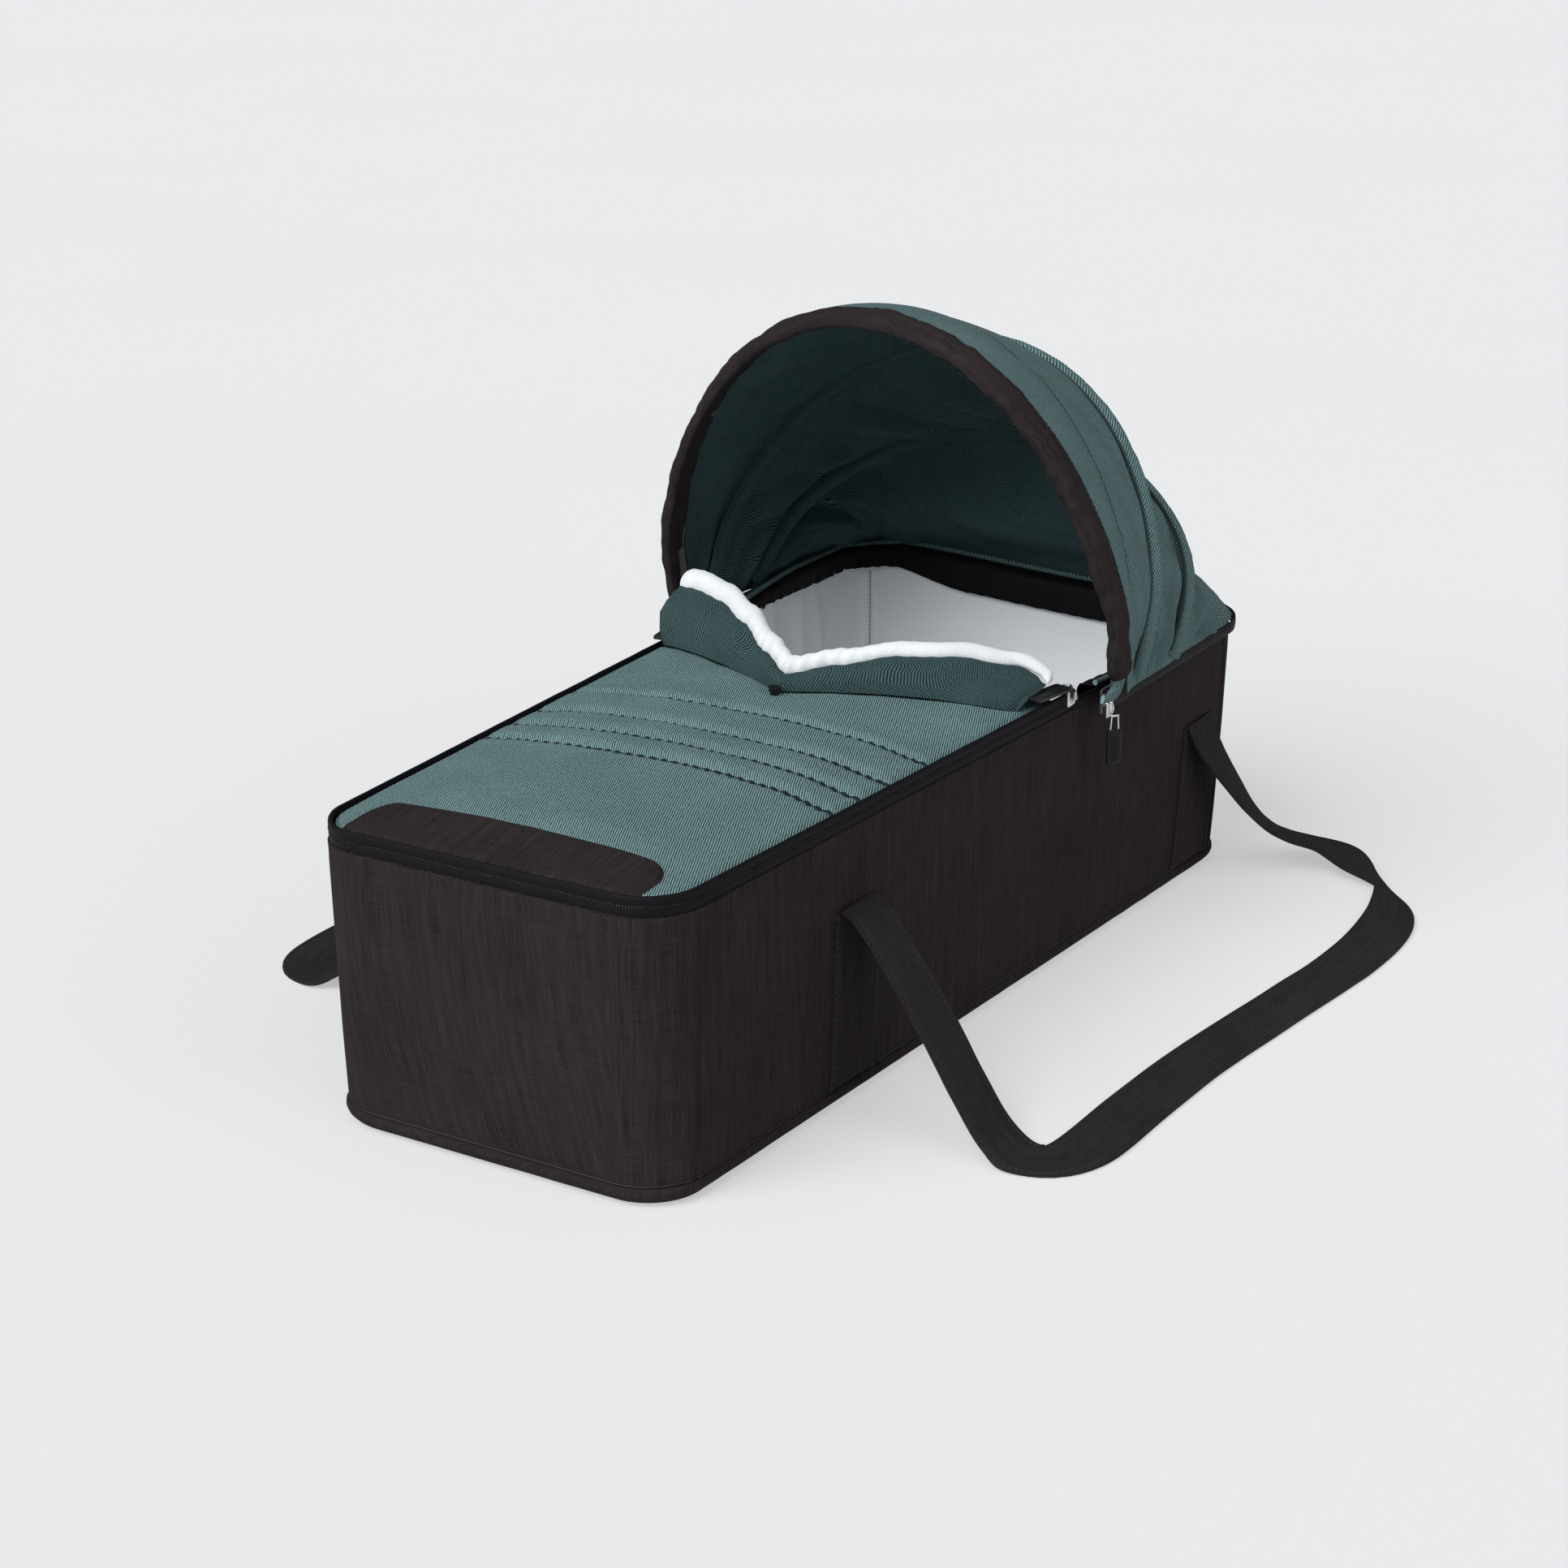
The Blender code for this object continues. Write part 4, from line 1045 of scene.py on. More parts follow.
@dataclass
class Tub:
    """The outer cover with its seams, bound foot, strap channels, lining and mattress."""

    wardrobe: Wardrobe
    cover_thickness: float = 2 * MM
    edge_radius: float = 10 * MM
    floor_inset: float = 20 * MM
    wall_steps: int = 44
    bulge: float = 1.8 * MM
    rumple: float = 0.55 * MM
    crinkle: float = 0.22 * MM
    seam_depth: float = 1.7 * MM
    seam_reach: float = 1.7 * MM
    seam_lip: float = 0.5 * MM
    foot_seam: float = -353 * MM
    head_seam: float = 343 * MM
    hem_groove: float = 14.6 * MM
    hem_depth: float = 0.9 * MM
    top_groove: float = 186 * MM
    top_depth: float = 0.35 * MM
    band_low: float = 1.5 * MM
    band_high: float = 13 * MM
    cord_height: float = 14.4 * MM
    cord_radius: float = 0.75 * MM
    channel_margin: float = 4 * MM
    channel_low: float = 14.8 * MM
    channel_lift: float = 1.5 * MM
    seam_steps: int = 30
    lining_outset: float = -8.5 * MM
    lining_thickness: float = 2 * MM
    lining_floor: float = 8.6 * MM
    lining_steps: int = 26
    fold_reach: float = 8 * MM
    lining_folds: tuple[tuple[int, float], ...] = (
        (40, 2.4), (118, 4.0), (163, 5.0), (207, 5.4), (255, 5.0), (300, 4.2))
    mattress_floor: float = 10.9 * MM
    mattress_inset: float = 16 * MM
    mattress_height: float = 30 * MM
    mattress_crown: float = 6 * MM
    mattress_side: float = 7.5 * MM
    tuft_pitch: float = 95 * MM
    tuft_row: float = 55 * MM
    tuft_depth: float = 4 * MM

    def build(self) -> None:
        """Build every piece of the tub."""
        self.build_cover()
        self.build_band()
        for side in Side:
            self.build_channel(side, "foot", *PLAN.foot_slit)
            self.build_channel(side, "head", *PLAN.head_slit)
        self.build_corner_seams()
        self.build_lining()
        self.build_mattress()
        self.dress_boards()

    def push(self, spot: RimSpot, z: float) -> float:
        """How far the cover stands out or in at a place on the wall.

        Args:
            spot: The place on the plan.
            z: The height.

        Returns:
            The outset.
        """
        up = PLAN.level(z)
        straight = max(abs(spot.out_x), abs(spot.out_y)) ** 6
        out = self.bulge * sin(pi * min(up * 1.05, 1.0)) ** 0.7 * straight
        out += self.rumple * grain(spot.x, spot.y, z * 0.5, 46 * MM) * sin(pi * up)
        out += self.crinkle * grain(spot.x + 1, spot.y, z * 0.35, 15 * MM)
        if abs(spot.out_y) > 0.6:
            for seam in (self.foot_seam, self.head_seam):
                off = abs(spot.x - seam)
                out -= self.seam_depth * bell(off, self.seam_reach)
                out += self.seam_lip * bell(off - 5 * MM, 4 * MM)
        out -= self.hem_depth * bell(z - self.hem_groove, 1.6 * MM)
        out -= self.top_depth * bell(z - self.top_groove, 3 * MM) * (0.6 + grain(spot.x, spot.y, 0, 9 * MM))
        return out

    def ring(self, outset: float, z: float, pushed: float = 1.0) -> Path:
        """One ring of the cover.

        Args:
            outset: The outset from the plan.
            z: The height.
            pushed: How much of the cover's own swell counts.

        Returns:
            The ring's points.
        """
        return [spot.at(outset + pushed * self.push(spot, z), z) for spot in PLAN.ring(z)]

    def build_cover(self) -> None:
        """The charcoal cover, from its floor up the walls and over the rim."""
        round_steps = 6
        edge = self.edge_radius
        rows = [self.ring(-edge - self.floor_inset, 0.0, 0.0)]
        for step in range(round_steps + 1):
            turn = pi / 2 * step / round_steps
            rows.append(self.ring(-edge * (1 - sin(turn)), edge * (1 - cos(turn)), turn / 3))
        rows += [self.ring(0.0, z) for z in spread(edge, PLAN.wall - 1.2 * MM, self.wall_steps)[1:]]
        rows.append(self.ring(-0.5 * MM, PLAN.wall - 0.3 * MM, 0.6))
        rows.append(self.ring(-1.2 * MM, PLAN.wall, 0.0))
        inner = -self.cover_thickness
        rows.append(self.ring(inner, PLAN.wall - 0.2 * MM, 0.0))
        rows += [self.ring(inner, z, 0.0) for z in (0.65 * PLAN.wall, 0.3 * PLAN.wall, 14 * MM)]
        rows.append(self.ring(inner - edge, self.cover_thickness, 0.0))
        cover = loft("tub_cover", rows, self.wardrobe.charcoal)
        add_to(cover, "cot", "cover_fabric", "outer_cover")

    def build_band(self) -> None:
        """The bound band round the foot of the walls, with a cord sewn in above it."""
        section = ((0.2, 0.0), (1.5, 0.1), (2.2, 0.4), (2.4, 0.62), (2.0, 0.84), (0.9, 0.98), (0.1, 1.0),
                   (-0.6, 0.8), (-0.7, 0.4), (-0.5, 0.1))
        rows = []
        for out, share in section:
            z = mix(self.band_low, self.band_high, share)
            inset = -(self.edge_radius - (self.edge_radius ** 2 - max(self.edge_radius - z, 0) ** 2) ** 0.5)
            rows.append([spot.at(inset + out * MM + 0.25 * MM * grain(spot.x, spot.y, z, 18 * MM), z)
                         for spot in PLAN.ring(z)])
        band = loft("base_band", rows, self.wardrobe.charcoal, along=True)
        add_to(band, "cot", "cover_fabric", "base_hem")
        z = self.cord_height
        cord = [spot.at(self.push(spot, z) + 0.35 * MM, z) for spot in PLAN.ring(z)]
        piping = tube("base_piping", cord, self.cord_radius, self.wardrobe.dark_thread, 6, closed=True)
        add_to(piping, "cot", "cover_fabric")

    def wall_spot(self, side: Side, x: float, z: float) -> RimSpot:
        """The spot on a long side at x and z."""
        return RimSpot(x, side.value * PLAN.half_width(x, PLAN.level(z)), 0.0, side.value)

    def build_channel(self, side: Side, label: str, x: float, height: float) -> None:
        """The strip sewn down the wall below a strap's slit.

        Args:
            side: The cot's side.
            label: The end that the slit is near.
            x: The place of the slit.
            height: The slit's height.
        """
        half = PLAN.strap_width / 2 + self.channel_margin
        low, high = self.channel_low, height - 1 * MM
        heights = spread(low, high, self.seam_steps)
        shares = (-1.0, -0.985, -0.95, -0.9, -0.86, -0.8, -0.5, -0.2, 0.1, 0.4, 0.7, 0.86, 0.93, 0.97, 1.0)
        rows = []
        for z in heights:
            outer, inner = [], []
            for share in shares:
                spot = self.wall_spot(side, x + share * half, z)
                lift = self.channel_lift * (1 - abs(share) ** 10) - 0.7 * MM * bell(share + 0.88, 0.03)
                lift -= 0.4 * MM * bell(share - 0.9, 0.03)
                lift += 0.45 * MM * grain(spot.x * 2, side.value, z, 22 * MM)
                base = self.push(spot, z)
                outer.append(spot.at(base + 0.5 * MM + max(lift, 0.0), z))
                inner.append(spot.at(base + 0.15 * MM, z))
            rows.append(outer + inner[::-1])
        name = f"{side.word}_{label}_strap_channel"
        strip = loft(f"{name}_cloth", rows, self.wardrobe.charcoal)
        add_to(strip, "cot", "cover_fabric", name)
        seams = []
        for share, out in ((-0.97, 1.3), (-0.88, 1.35), (0.9, 1.7)):
            spots = [(self.wall_spot(side, x + share * half, z), z) for z in heights]
            seams.append([spot.at(self.push(spot, z) + out * MM, z) for spot, z in spots])
        sewing = Sewing(4.2 * MM, 0.8 * MM, 0.55 * MM)
        thread = sewing.sew(f"{name}_stitches", seams, self.wardrobe.dark_thread)
        add_to(thread, "cot", "cover_fabric")

    def build_corner_seams(self) -> None:
        """The thread in the cover's four upright seams."""
        seams = []
        for side in Side:
            for end, x in ((End.FOOT, self.foot_seam), (End.HEAD, self.head_seam)):
                seam = []
                for z in spread(16 * MM, PLAN.wall - 2 * MM, self.seam_steps):
                    centre_x, centre_y, radius = PLAN.centre(end, side, PLAN.level(z))
                    into = max((x - centre_x) * end.value, 0.0) / radius
                    across = side.value * (1 - into ** 2) ** 0.5
                    spot = RimSpot(x, centre_y + radius * across, end.value * into, across)
                    seam.append(spot.at(self.push(spot, z) + 0.2 * MM, z))
                seams.append(seam)
        sewing = Sewing(5.0 * MM, 0.4 * MM, 0.55 * MM)
        thread = sewing.sew("tub_corner_stitches", seams, self.wardrobe.dark_thread)
        add_to(thread, "cot", "cover_fabric")

    def lining_push(self, spot: RimSpot, z: float) -> float:
        """How far the lining hangs away from the boards.

        Args:
            spot: The place on the plan.
            z: The height.

        Returns:
            The outset, which is negative into the cot.
        """
        up = PLAN.level(z)
        hang = sin(pi * min(max(up, 0.0), 1.0)) ** 0.6
        out = -0.8 * MM * (1 + grain(spot.x, spot.y, z * 0.4, 50 * MM)) * hang
        if abs(spot.out_y) > 0.9:
            for fold, deep in self.lining_folds:
                lean = (z - PLAN.wall / 2) * (0.16 if fold % 2 else -0.1)
                out -= 1.3 * deep * MM * bell(spot.x - fold * MM - lean, self.fold_reach) * hang
        for end in (End.FOOT, End.HEAD):
            for side in Side:
                x, y, radius = PLAN.centre(end, side, up)
                corner = Vector((x + end.value * radius * 0.7, y + side.value * radius * 0.7))
                off = (Vector((spot.x, spot.y)) - corner).length
                out -= (2.2 * MM * bell(off - 7 * MM, 6 * MM) - 2.6 * MM * bell(off, 2.4 * MM)) * hang
        return out

    def build_lining(self) -> None:
        """The white lining, hung inside the boards."""
        outer, inner = self.lining_outset, self.lining_outset - self.lining_thickness
        floor, corner = self.lining_floor, 12 * MM

        def ring(outset: float, z: float, hung: float) -> Path:
            """One ring of the lining at an outset and a height."""
            return [spot.at(outset + hung * self.lining_push(spot, z), z) for spot in PLAN.ring(z)]

        top = PLAN.wall - 0.3 * MM
        rows = [ring(outer - corner, floor, 0.0), ring(outer, floor + 10 * MM, 0.0)]
        rows += [ring(outer, z, 0.0) for z in (0.3 * PLAN.wall, 0.65 * PLAN.wall, top)]
        heights = spread(top, floor + corner, self.lining_steps)
        rows += [ring(inner, z, 1.0) for z in heights]
        rows.append(ring(inner - 4 * MM, floor + 4 * MM, 1.0))
        rows.append(ring(inner - corner, floor + 2 * MM, 0.0))
        lining = loft("white_lining_cloth", rows, self.wardrobe.lining)
        add_to(lining, "cot", "white_lining", "lining")
        seams = []
        into, across = cos(pi / 4), sin(pi / 4)
        for side in Side:
            line = []
            for z in heights[1:]:
                x, y, radius = PLAN.centre(End.HEAD, side, PLAN.level(z))
                spot = RimSpot(x + radius * into, y + side.value * radius * across, into, side.value * across)
                line.append(spot.at(inner - 0.3 * MM + self.lining_push(spot, z), z))
            seams.append(line)
        sewing = Sewing(3.4 * MM, 0.4 * MM, 0.6 * MM)
        thread = sewing.sew("lining_corner_seams", seams, self.wardrobe.lining_thread)
        add_to(thread, "cot", "white_lining")

    def build_mattress(self) -> None:
        """The crowned mattress with two rows of tufts."""
        inset = self.lining_outset - self.mattress_inset
        side_steps, top_steps = 10, 15
        base = PLAN.ring(self.mattress_floor)
        rows = []
        for step in range(side_steps + 1):
            turn = pi * (step / side_steps - 0.5)
            swell = self.mattress_side * (cos(turn) ** 0.6 - 1)
            z = self.mattress_floor + self.mattress_height * (0.5 + 0.5 * sin(turn))
            rows.append([spot.at(inset + swell + 0.6 * MM * grain(spot.x, spot.y, z, 20 * MM), z)
                         for spot in base])
        edge = rows[-1]
        for step in range(1, top_steps):
            share = 1 - step / (top_steps + 0.5)
            row = []
            for point in edge:
                x, y = point.x * share, point.y * share
                tuft = cos(pi * x / self.tuft_pitch) ** 8 * bell(abs(y) - self.tuft_row, 16 * MM)
                lift = self.mattress_crown * (1 - share * share) - self.tuft_depth * tuft
                lift += 0.5 * MM * grain(x, y, 0, 30 * MM)
                row.append(Vector((x, y, point.z + lift)))
            rows.append(row)
        pad = loft("mattress_pad", rows, self.wardrobe.ticking, chart=lambda at: (at.x, at.y + at.z))
        add_to(pad, "mattress_body", "mattress_cover", "mattress")

    def dress_boards(self) -> None:
        """Give the boards and bow rails that stay from the solids their finish."""
        for name in ("base_board", "left_side_board", "right_side_board", "foot_board", "head_board"):
            dress_node(name, self.wardrobe.board)
        for name in ("left_bow_rail", "right_bow_rail", "front_bow", "middle_bow", "rear_bow"):
            dress_node(name, self.wardrobe.spring)


def dress_node(name: str, finish: Material) -> None:
    """Give a solid that stays in the scene a finish.

    Args:
        name: The node's name.
        finish: Its material.
    """
    node = bpy.data.objects[name]
    for place in node.material_slots:
        place.material = finish
    log.info("%s keeps its solid", name)


# The rim


@dataclass
class Rim:
    """The black zip round the rim, with its two tapes, coil and the canopy's edge."""

    wardrobe: Wardrobe
    low: float = 194.3 * MM
    split: float = 200.8 * MM
    tape_height: float = 6.5 * MM
    tape_inset: float = 1.5 * MM
    tape_thickness: float = 1.6 * MM
    right_slider: float = 101 * MM
    left_slider: float = 88 * MM
    tooth: float = 0.9 * MM
    tooth_pitch: float = 1.9 * MM
    tooth_radius: float = 0.75 * MM
    base_half: float = 180.6 * MM
    base_end: float = 392.5 * MM
    base_radius: float = 54 * MM
    base_start: float = 113 * MM
    base_steps: int = 40
    edge_low: float = 192.6 * MM
    edge_high: float = 202.4 * MM
    band_start: float = 137 * MM
    band_height: float = 201.6 * MM
    band_raise: float = 8 * MM
    band_margin: float = 3.3 * MM
    gather_pitch: float = 15.5 * MM
    ripple_pitch: float = 6.7 * MM
    band_thickness: float = 1.1 * MM
    piping_radius: float = 2.1 * MM

    def build(self) -> None:
        """Build the tapes, the coil, the canopy's edge and the gathered band."""
        self.build_body_tape()
        self.build_apron_tape()
        self.build_coil()
        self.build_canopy_edge()
        self.build_gathered_band()

    def section(self, low: float, roll: float) -> list[tuple[float, float]]:
        """The rounded section of a tape.

        Args:
            low: The height of its lower edge.
            roll: How far its rolled edge swells.

        Returns:
            Pairs of outset and height round the section.
        """
        outer, high = -self.tape_inset, low + self.tape_height
        inner = outer - self.tape_thickness
        outside = [(outer + roll * swell, mix(low, high, share)) for swell, share in
                   ((0.4, 0.2), (1.0, 0.5), (0.8, 0.82))]
        inside = [(inner - roll * swell, mix(low, high, share)) for swell, share in ((0.4, 0.7), (0.3, 0.3))]
        return [(outer + 0.1 * MM, low), *outside, (outer, high), (inner, high), *inside, (inner, low)]

    def build_body_tape(self) -> None:
        """The tub's own tape, standing on the rim all round."""
        rows = [[spot.at(out + 0.25 * MM * grain(spot.x, spot.y, z, 14 * MM), z) for spot in PLAN.ring(z)]
                for out, z in self.section(self.low, 0.7 * MM)]
        tape = loft("body_tape", rows, self.wardrobe.tape, along=True)
        add_to(tape, "cot", "zip_tape", "body_zip_tape")

    def build_apron_tape(self) -> None:
        """The apron's tape, rolled over at its upper edge."""
        low = self.split + 0.3 * MM
        rows = []
        for spot in PLAN.foot_run(self.right_slider, self.left_slider):
            rows.append([spot.at(out + 0.3 * MM * grain(spot.x, spot.y, z, 16 * MM), z)
                         for out, z in self.section(low, 0.9 * MM)])
        tape = loft("apron_tape", rows, self.wardrobe.tape)
        add_to(tape, "apron", "zip_tape", "apron_zip_tape")

    def build_coil(self) -> None:
        """The coil's small teeth in the groove between the two tapes."""
        path = [spot.at(-self.tape_inset + 0.35 * MM, self.split + 0.15 * MM)
                for spot in PLAN.foot_run(self.right_slider, self.left_slider)]
        teeth = Sewing(self.tooth, self.tooth_pitch - self.tooth, self.tooth_radius, 4)
        add_to(teeth.sew("zip_coil", [path], self.wardrobe.coil), "cot", "zip_tape")

    def canopy_path(self, outset: float, z: float) -> Path:
        """The canopy's lower edge round the head.

        Args:
            outset: The outset from the canopy's cloth.
            z: The height.

        Returns:
            The path's points.
        """
        half, end, radius = self.base_half + outset, self.base_end + outset, self.base_radius + outset
        straight = spread(self.base_start, end - radius, self.base_steps)[:-1]
        points = [Vector((x, -half, z)) for x in straight]
        corner_steps = 14
        for side, begin in ((-1, 1.5 * pi), (1, 0.0)):
            for step in range(corner_steps + 1):
                turn = begin + pi / 2 * step / corner_steps
                points.append(Vector((end - radius + radius * cos(turn),
                                      side * (half - radius) + radius * sin(turn), z)))
        points += [Vector((x, half, z)) for x in reversed(straight)]
        return resampled(points, 6 * MM)

    def build_canopy_edge(self) -> None:
        """The black edging where the canopy meets the tub."""
        section = ((0.2, 0.0), (0.9, 0.05), (1.3, 0.3), (1.4, 0.6), (1.2, 0.9), (0.8, 1.0), (0.1, 0.98),
                   (0.0, 0.5))
        columns = [self.canopy_path(out * MM, mix(self.edge_low, self.edge_high, share))
                   for out, share in section]
        last = min(len(column) for column in columns) - 1
        rows = [[column[round(step * (len(column) - 1) / last)] for column in columns]
                for step in range(last + 1)]
        for row in rows:
            for point in row:
                point.z += 0.35 * MM * grain(point.x, point.y, 0, 22 * MM)
        edge = loft("canopy_edge", rows, self.wardrobe.tape)
        add_to(edge, "cot", "zip_tape", "canopy_zip_tape")

    def band_top(self, spot: RimSpot) -> float:
        """The height of the gathered band's upper edge, raised at the far left corner."""
        left, far = smooth((spot.y + 70 * MM) / (200 * MM)), smooth((spot.x - 170 * MM) / (110 * MM))
        return self.band_height + self.band_raise * left * far

    def band_inset(self, spot: RimSpot) -> float:
        """How far the band keeps away from the canopy's cloth at a place."""
        round_corner = 7.5 * MM * abs(2 * spot.out_x * spot.out_y)
        return self.band_margin + round_corner + 0.35 * (self.band_top(spot) - self.band_height)

    def build_gathered_band(self) -> None:
        """The gathered black band that covers the rim inside the canopy."""
        profile = ((0.0, 0.0), (4.0, 0.9), (9.0, 0.6), (13.5, -0.6), (15.4, -4.0), (15.8, -9.0),
                   (15.2, -15.0), (14.6, -20.0), (14.2, -24.0))
        spots = PLAN.head_run(self.band_start)
        rows = []
        run = 0.0
        for index, spot in enumerate(spots):
            if index:
                run += Vector((spot.x - spots[index - 1].x, spot.y - spots[index - 1].y)).length
            gather = sin(run / self.gather_pitch * 2 * pi + 2.2 * grain(spot.x, spot.y, 0, 40 * MM))
            fine = sin(run / self.ripple_pitch * 2 * pi + 3 * grain(spot.x, spot.y, 1, 30 * MM))
            outer, inner = [], []
            left = smooth((spot.y - 60 * MM) / (90 * MM)) * smooth((spot.x - 110 * MM) / (70 * MM))
            inset = self.band_inset(spot)
            for into, drop in profile:
                into *= 1 - 0.6 * left
                drop *= 1 - (0.36 + 0.2 * smooth((300 * MM - spot.x) / (110 * MM))) * left * smooth(-drop / 9)
                hang = smooth(-drop / 20)
                ripple = (1.3 * gather + 0.5 * fine) * MM * (0.25 + hang)
                z = self.band_top(spot) + drop * MM - 2.2 * MM * hang * (1 + 0.4 * gather)
                out = -inset - into * MM + ripple
                outer.append(spot.at(out, z + 0.4 * MM * fine * (1 - hang)))
                inner.append(spot.at(out + self.band_thickness * (0.3 + hang),
                                     z - self.band_thickness * (1 - hang)))
            rows.append(outer + inner[::-1])
        band = loft("gathered_band", rows, self.wardrobe.tape)
        add_to(band, "cot", "zip_tape", "head_valance")
        path = [spot.at(-1.1 * MM - self.band_inset(spot), self.band_top(spot) + 2.4 * MM) for spot in spots]
        piping = tube("base_piping_inside", path, self.piping_radius, self.wardrobe.hood, 10)
        add_to(piping, "cot", "teal_twill")


# The apron


@dataclass
class Apron:
    """The quilted apron with its foot panel, wind flap and press button."""

    wardrobe: Wardrobe
    low: float = 201.1 * MM
    edge: float = 4.5 * MM
    crown: float = 13 * MM
    under: float = 5 * MM
    margin: float = 3.4 * MM
    quilt_lines: tuple[float, ...] = (-194 * MM, -162 * MM, -128 * MM, -80 * MM)
    quilt_depth: float = 3.8 * MM
    quilt_reach: float = 9 * MM
    crease_centre: float = -34 * MM
    crease_side: float = 46 * MM
    panel_start: float = -383.6 * MM
    panel_end: float = -338 * MM
    panel_side_margin: float = 26 * MM
    panel_rounding: float = 22 * MM
    columns: int = 130
    pitch: float = 2.8 * MM
    last_straight: float = -60 * MM
    crease_rows: int = 36
    core_depth: float = 1.6 * MM
    core_reach: float = 1.7 * MM
    near_line: float = 5.6 * MM
    dark_offset: float = 0.6 * MM
    dark_reach: float = 1.6 * MM
    pucker_pitch: float = 8.5 * MM
    puff: float = 1.2 * MM
    pull: float = 2.0 * MM
    edge_roll: float = 2.6 * MM
    seam_steps: int = 90
    panel_lift: float = 2.2 * MM
    panel_seam: float = 5 * MM

    def build(self) -> None:
        """Build the pad, its stitches and the foot panel."""
        self.build_pad()
        self.build_quilting()
        self.build_foot_panel()

    def crease(self, y: float) -> float:
        """Where the pad ends along the cot at y."""
        share = abs(y) / PLAN.half_width(self.crease_side)
        return mix(self.crease_centre, self.crease_side, min(share, 1.0))

    def crown_share(self, x: float, y: float) -> float:
        """How far the pad has risen towards its crown at a place."""
        across = min(abs(y) / PLAN.half_width(x), 1.0)
        along = min((x + PLAN.length / 2) / (2 * PLAN.foot_radius), 1.0)
        return (1 - across ** 2.4) * smooth(along)

    def half(self, x: float) -> float:
        """Half of the pad's width at x."""
        radius = PLAN.foot_radius
        into = x + PLAN.length / 2 - self.margin
        rounded = 0.0 if into >= radius else radius - max(radius ** 2 - (radius - into) ** 2, 0.0) ** 0.5
        return PLAN.half_width(x) - self.margin - rounded

    def line_bend(self, y: float) -> float:
        """How far a sewn line strays along the cot at y."""
        return 1.4 * MM * grain(0.0, y, 3.0, 60 * MM) - 5 * MM * smooth((-y - 95 * MM) / (50 * MM))

    def row_places(self) -> list[float]:
        """Places of the pad's straight rows, close together at the sewn lines."""
        first = -PLAN.length / 2 + self.margin
        even = spread(first, self.last_straight, round((self.last_straight - first) / self.pitch))
        offs = (-5.0, -3.4, -2.2, -1.4, -0.8, -0.35, 0.0, 0.35, 0.8, 1.4, 2.2, 3.4, 5.0)
        close = [line + off * MM for line in self.quilt_lines for off in offs]
        return sorted(close + [place for place in even if self.line_distance(place) > self.near_line])

    def line_distance(self, place: float) -> float:
        """How far a place along the cot is from the nearest sewn line."""
        return min(abs(place - line) for line in self.quilt_lines)

    def top(self, x: float, y: float) -> float:
        """Height of the pad's upper face.

        Args:
            x: The place along the cot.
            y: The place across it.

        Returns:
            The height.
        """
        share = self.crown_share(x, y)
        bend = self.line_bend(y)
        near = min(abs(x - line - bend) for line in self.quilt_lines)
        sewn = max(0.0, 1 - near / self.quilt_reach) ** 1.5
        core = self.core_depth * bell(near, self.core_reach)
        dip = (self.quilt_depth * sewn + core) * smooth(share * 3.2)
        pucker = sin(y / self.pucker_pitch * 2 * pi + 4 * grain(x, y, 0, 50 * MM))
        pucker *= bell(near - 3 * MM, 4 * MM)
        rumple = 1.1 * grain(x, y, 0.3, 70 * MM) + 0.5 * grain(x, y, 1.7, 26 * MM)
        between = smooth((x + 216 * MM) / (30 * MM)) * smooth((-58 * MM - x) / (30 * MM))
        swell = self.puff * between * (1 - sewn)
        pull = self.pull * bell(x - self.crease(y) + 12 * MM, 26 * MM)
        pull *= 0.4 + grain(x * 0.6, y * 2.2, 5.0, 60 * MM)
        edge_room = max(self.half(x) - abs(y), 0.0)
        roll = self.edge_roll * (1 - smooth(edge_room / (7 * MM)))
        height = self.low + self.edge + self.crown * share
        return height - dip + (0.9 * pucker * MM + rumple * MM + swell + pull) * smooth(share * 3) - roll

    def bottom(self, x: float, y: float) -> float:
        """Height of the pad's lower face."""
        return self.low + self.under * self.crown_share(x, y)

    def build_pad(self) -> None:
        """The teal pad, from the foot to the crease."""
        places = [(place, 0.0, 0.0) for place in self.row_places()]
        places += [(self.last_straight, share, 0.0) for share in spread(0.0, 1.0, self.crease_rows)[1:]]
        places += [(self.last_straight, 1.0, tongue * MM) for tongue in (3.0, 14.0)]
        rows = []
        for place, share, tongue in places:
            upper, lower = [], []
            for column in range(self.columns + 1):
                across = sin(pi / 2 * (2 * column / self.columns - 1))
                y = across * self.half(mix(place, self.crease_side, share))
                straight = place + self.line_bend(y) * smooth((place + 232 * MM) / (30 * MM)) * (1 - share)
                widened = 1 + 2.4 * smooth((abs(across) - 0.86) / 0.1)
                x = mix(straight, self.crease(y), share) + tongue * widened
                y = across * self.half(x)
                z = self.top(x, y) - min(tongue * 0.9, 3.6 * MM)
                upper.append(Vector((x, y, z)))
                lower.append(Vector((x, y, min(self.bottom(x, y), z - 0.6 * MM))))
            rows.append(upper + lower[::-1])
        pad = loft("apron_quilt", rows, self.wardrobe.teal, chart=lambda at: (at.x, at.y))
        # Rows beside each sewn line take the darker teal copy as painted shade in the quilting grooves.
        pad.data.materials.append(self.wardrobe.teal_seam)
        ring = 2 * (self.columns + 1)
        for row in range(len(places) - 1):
            centre = mix(places[row][0], places[row + 1][0], 0.5)
            if self.line_distance(centre - self.dark_offset) < self.dark_reach:
                for face in pad.data.polygons[row * ring:(row + 1) * ring]:
                    face.material_index = 1
        add_to(pad, "apron", "teal_twill", "apron_pad")

    def on_top(self, x: float, y: float, lift: float) -> Vector:
        """A point just above the pad."""
        return Vector((x, y, self.top(x, y) + lift))

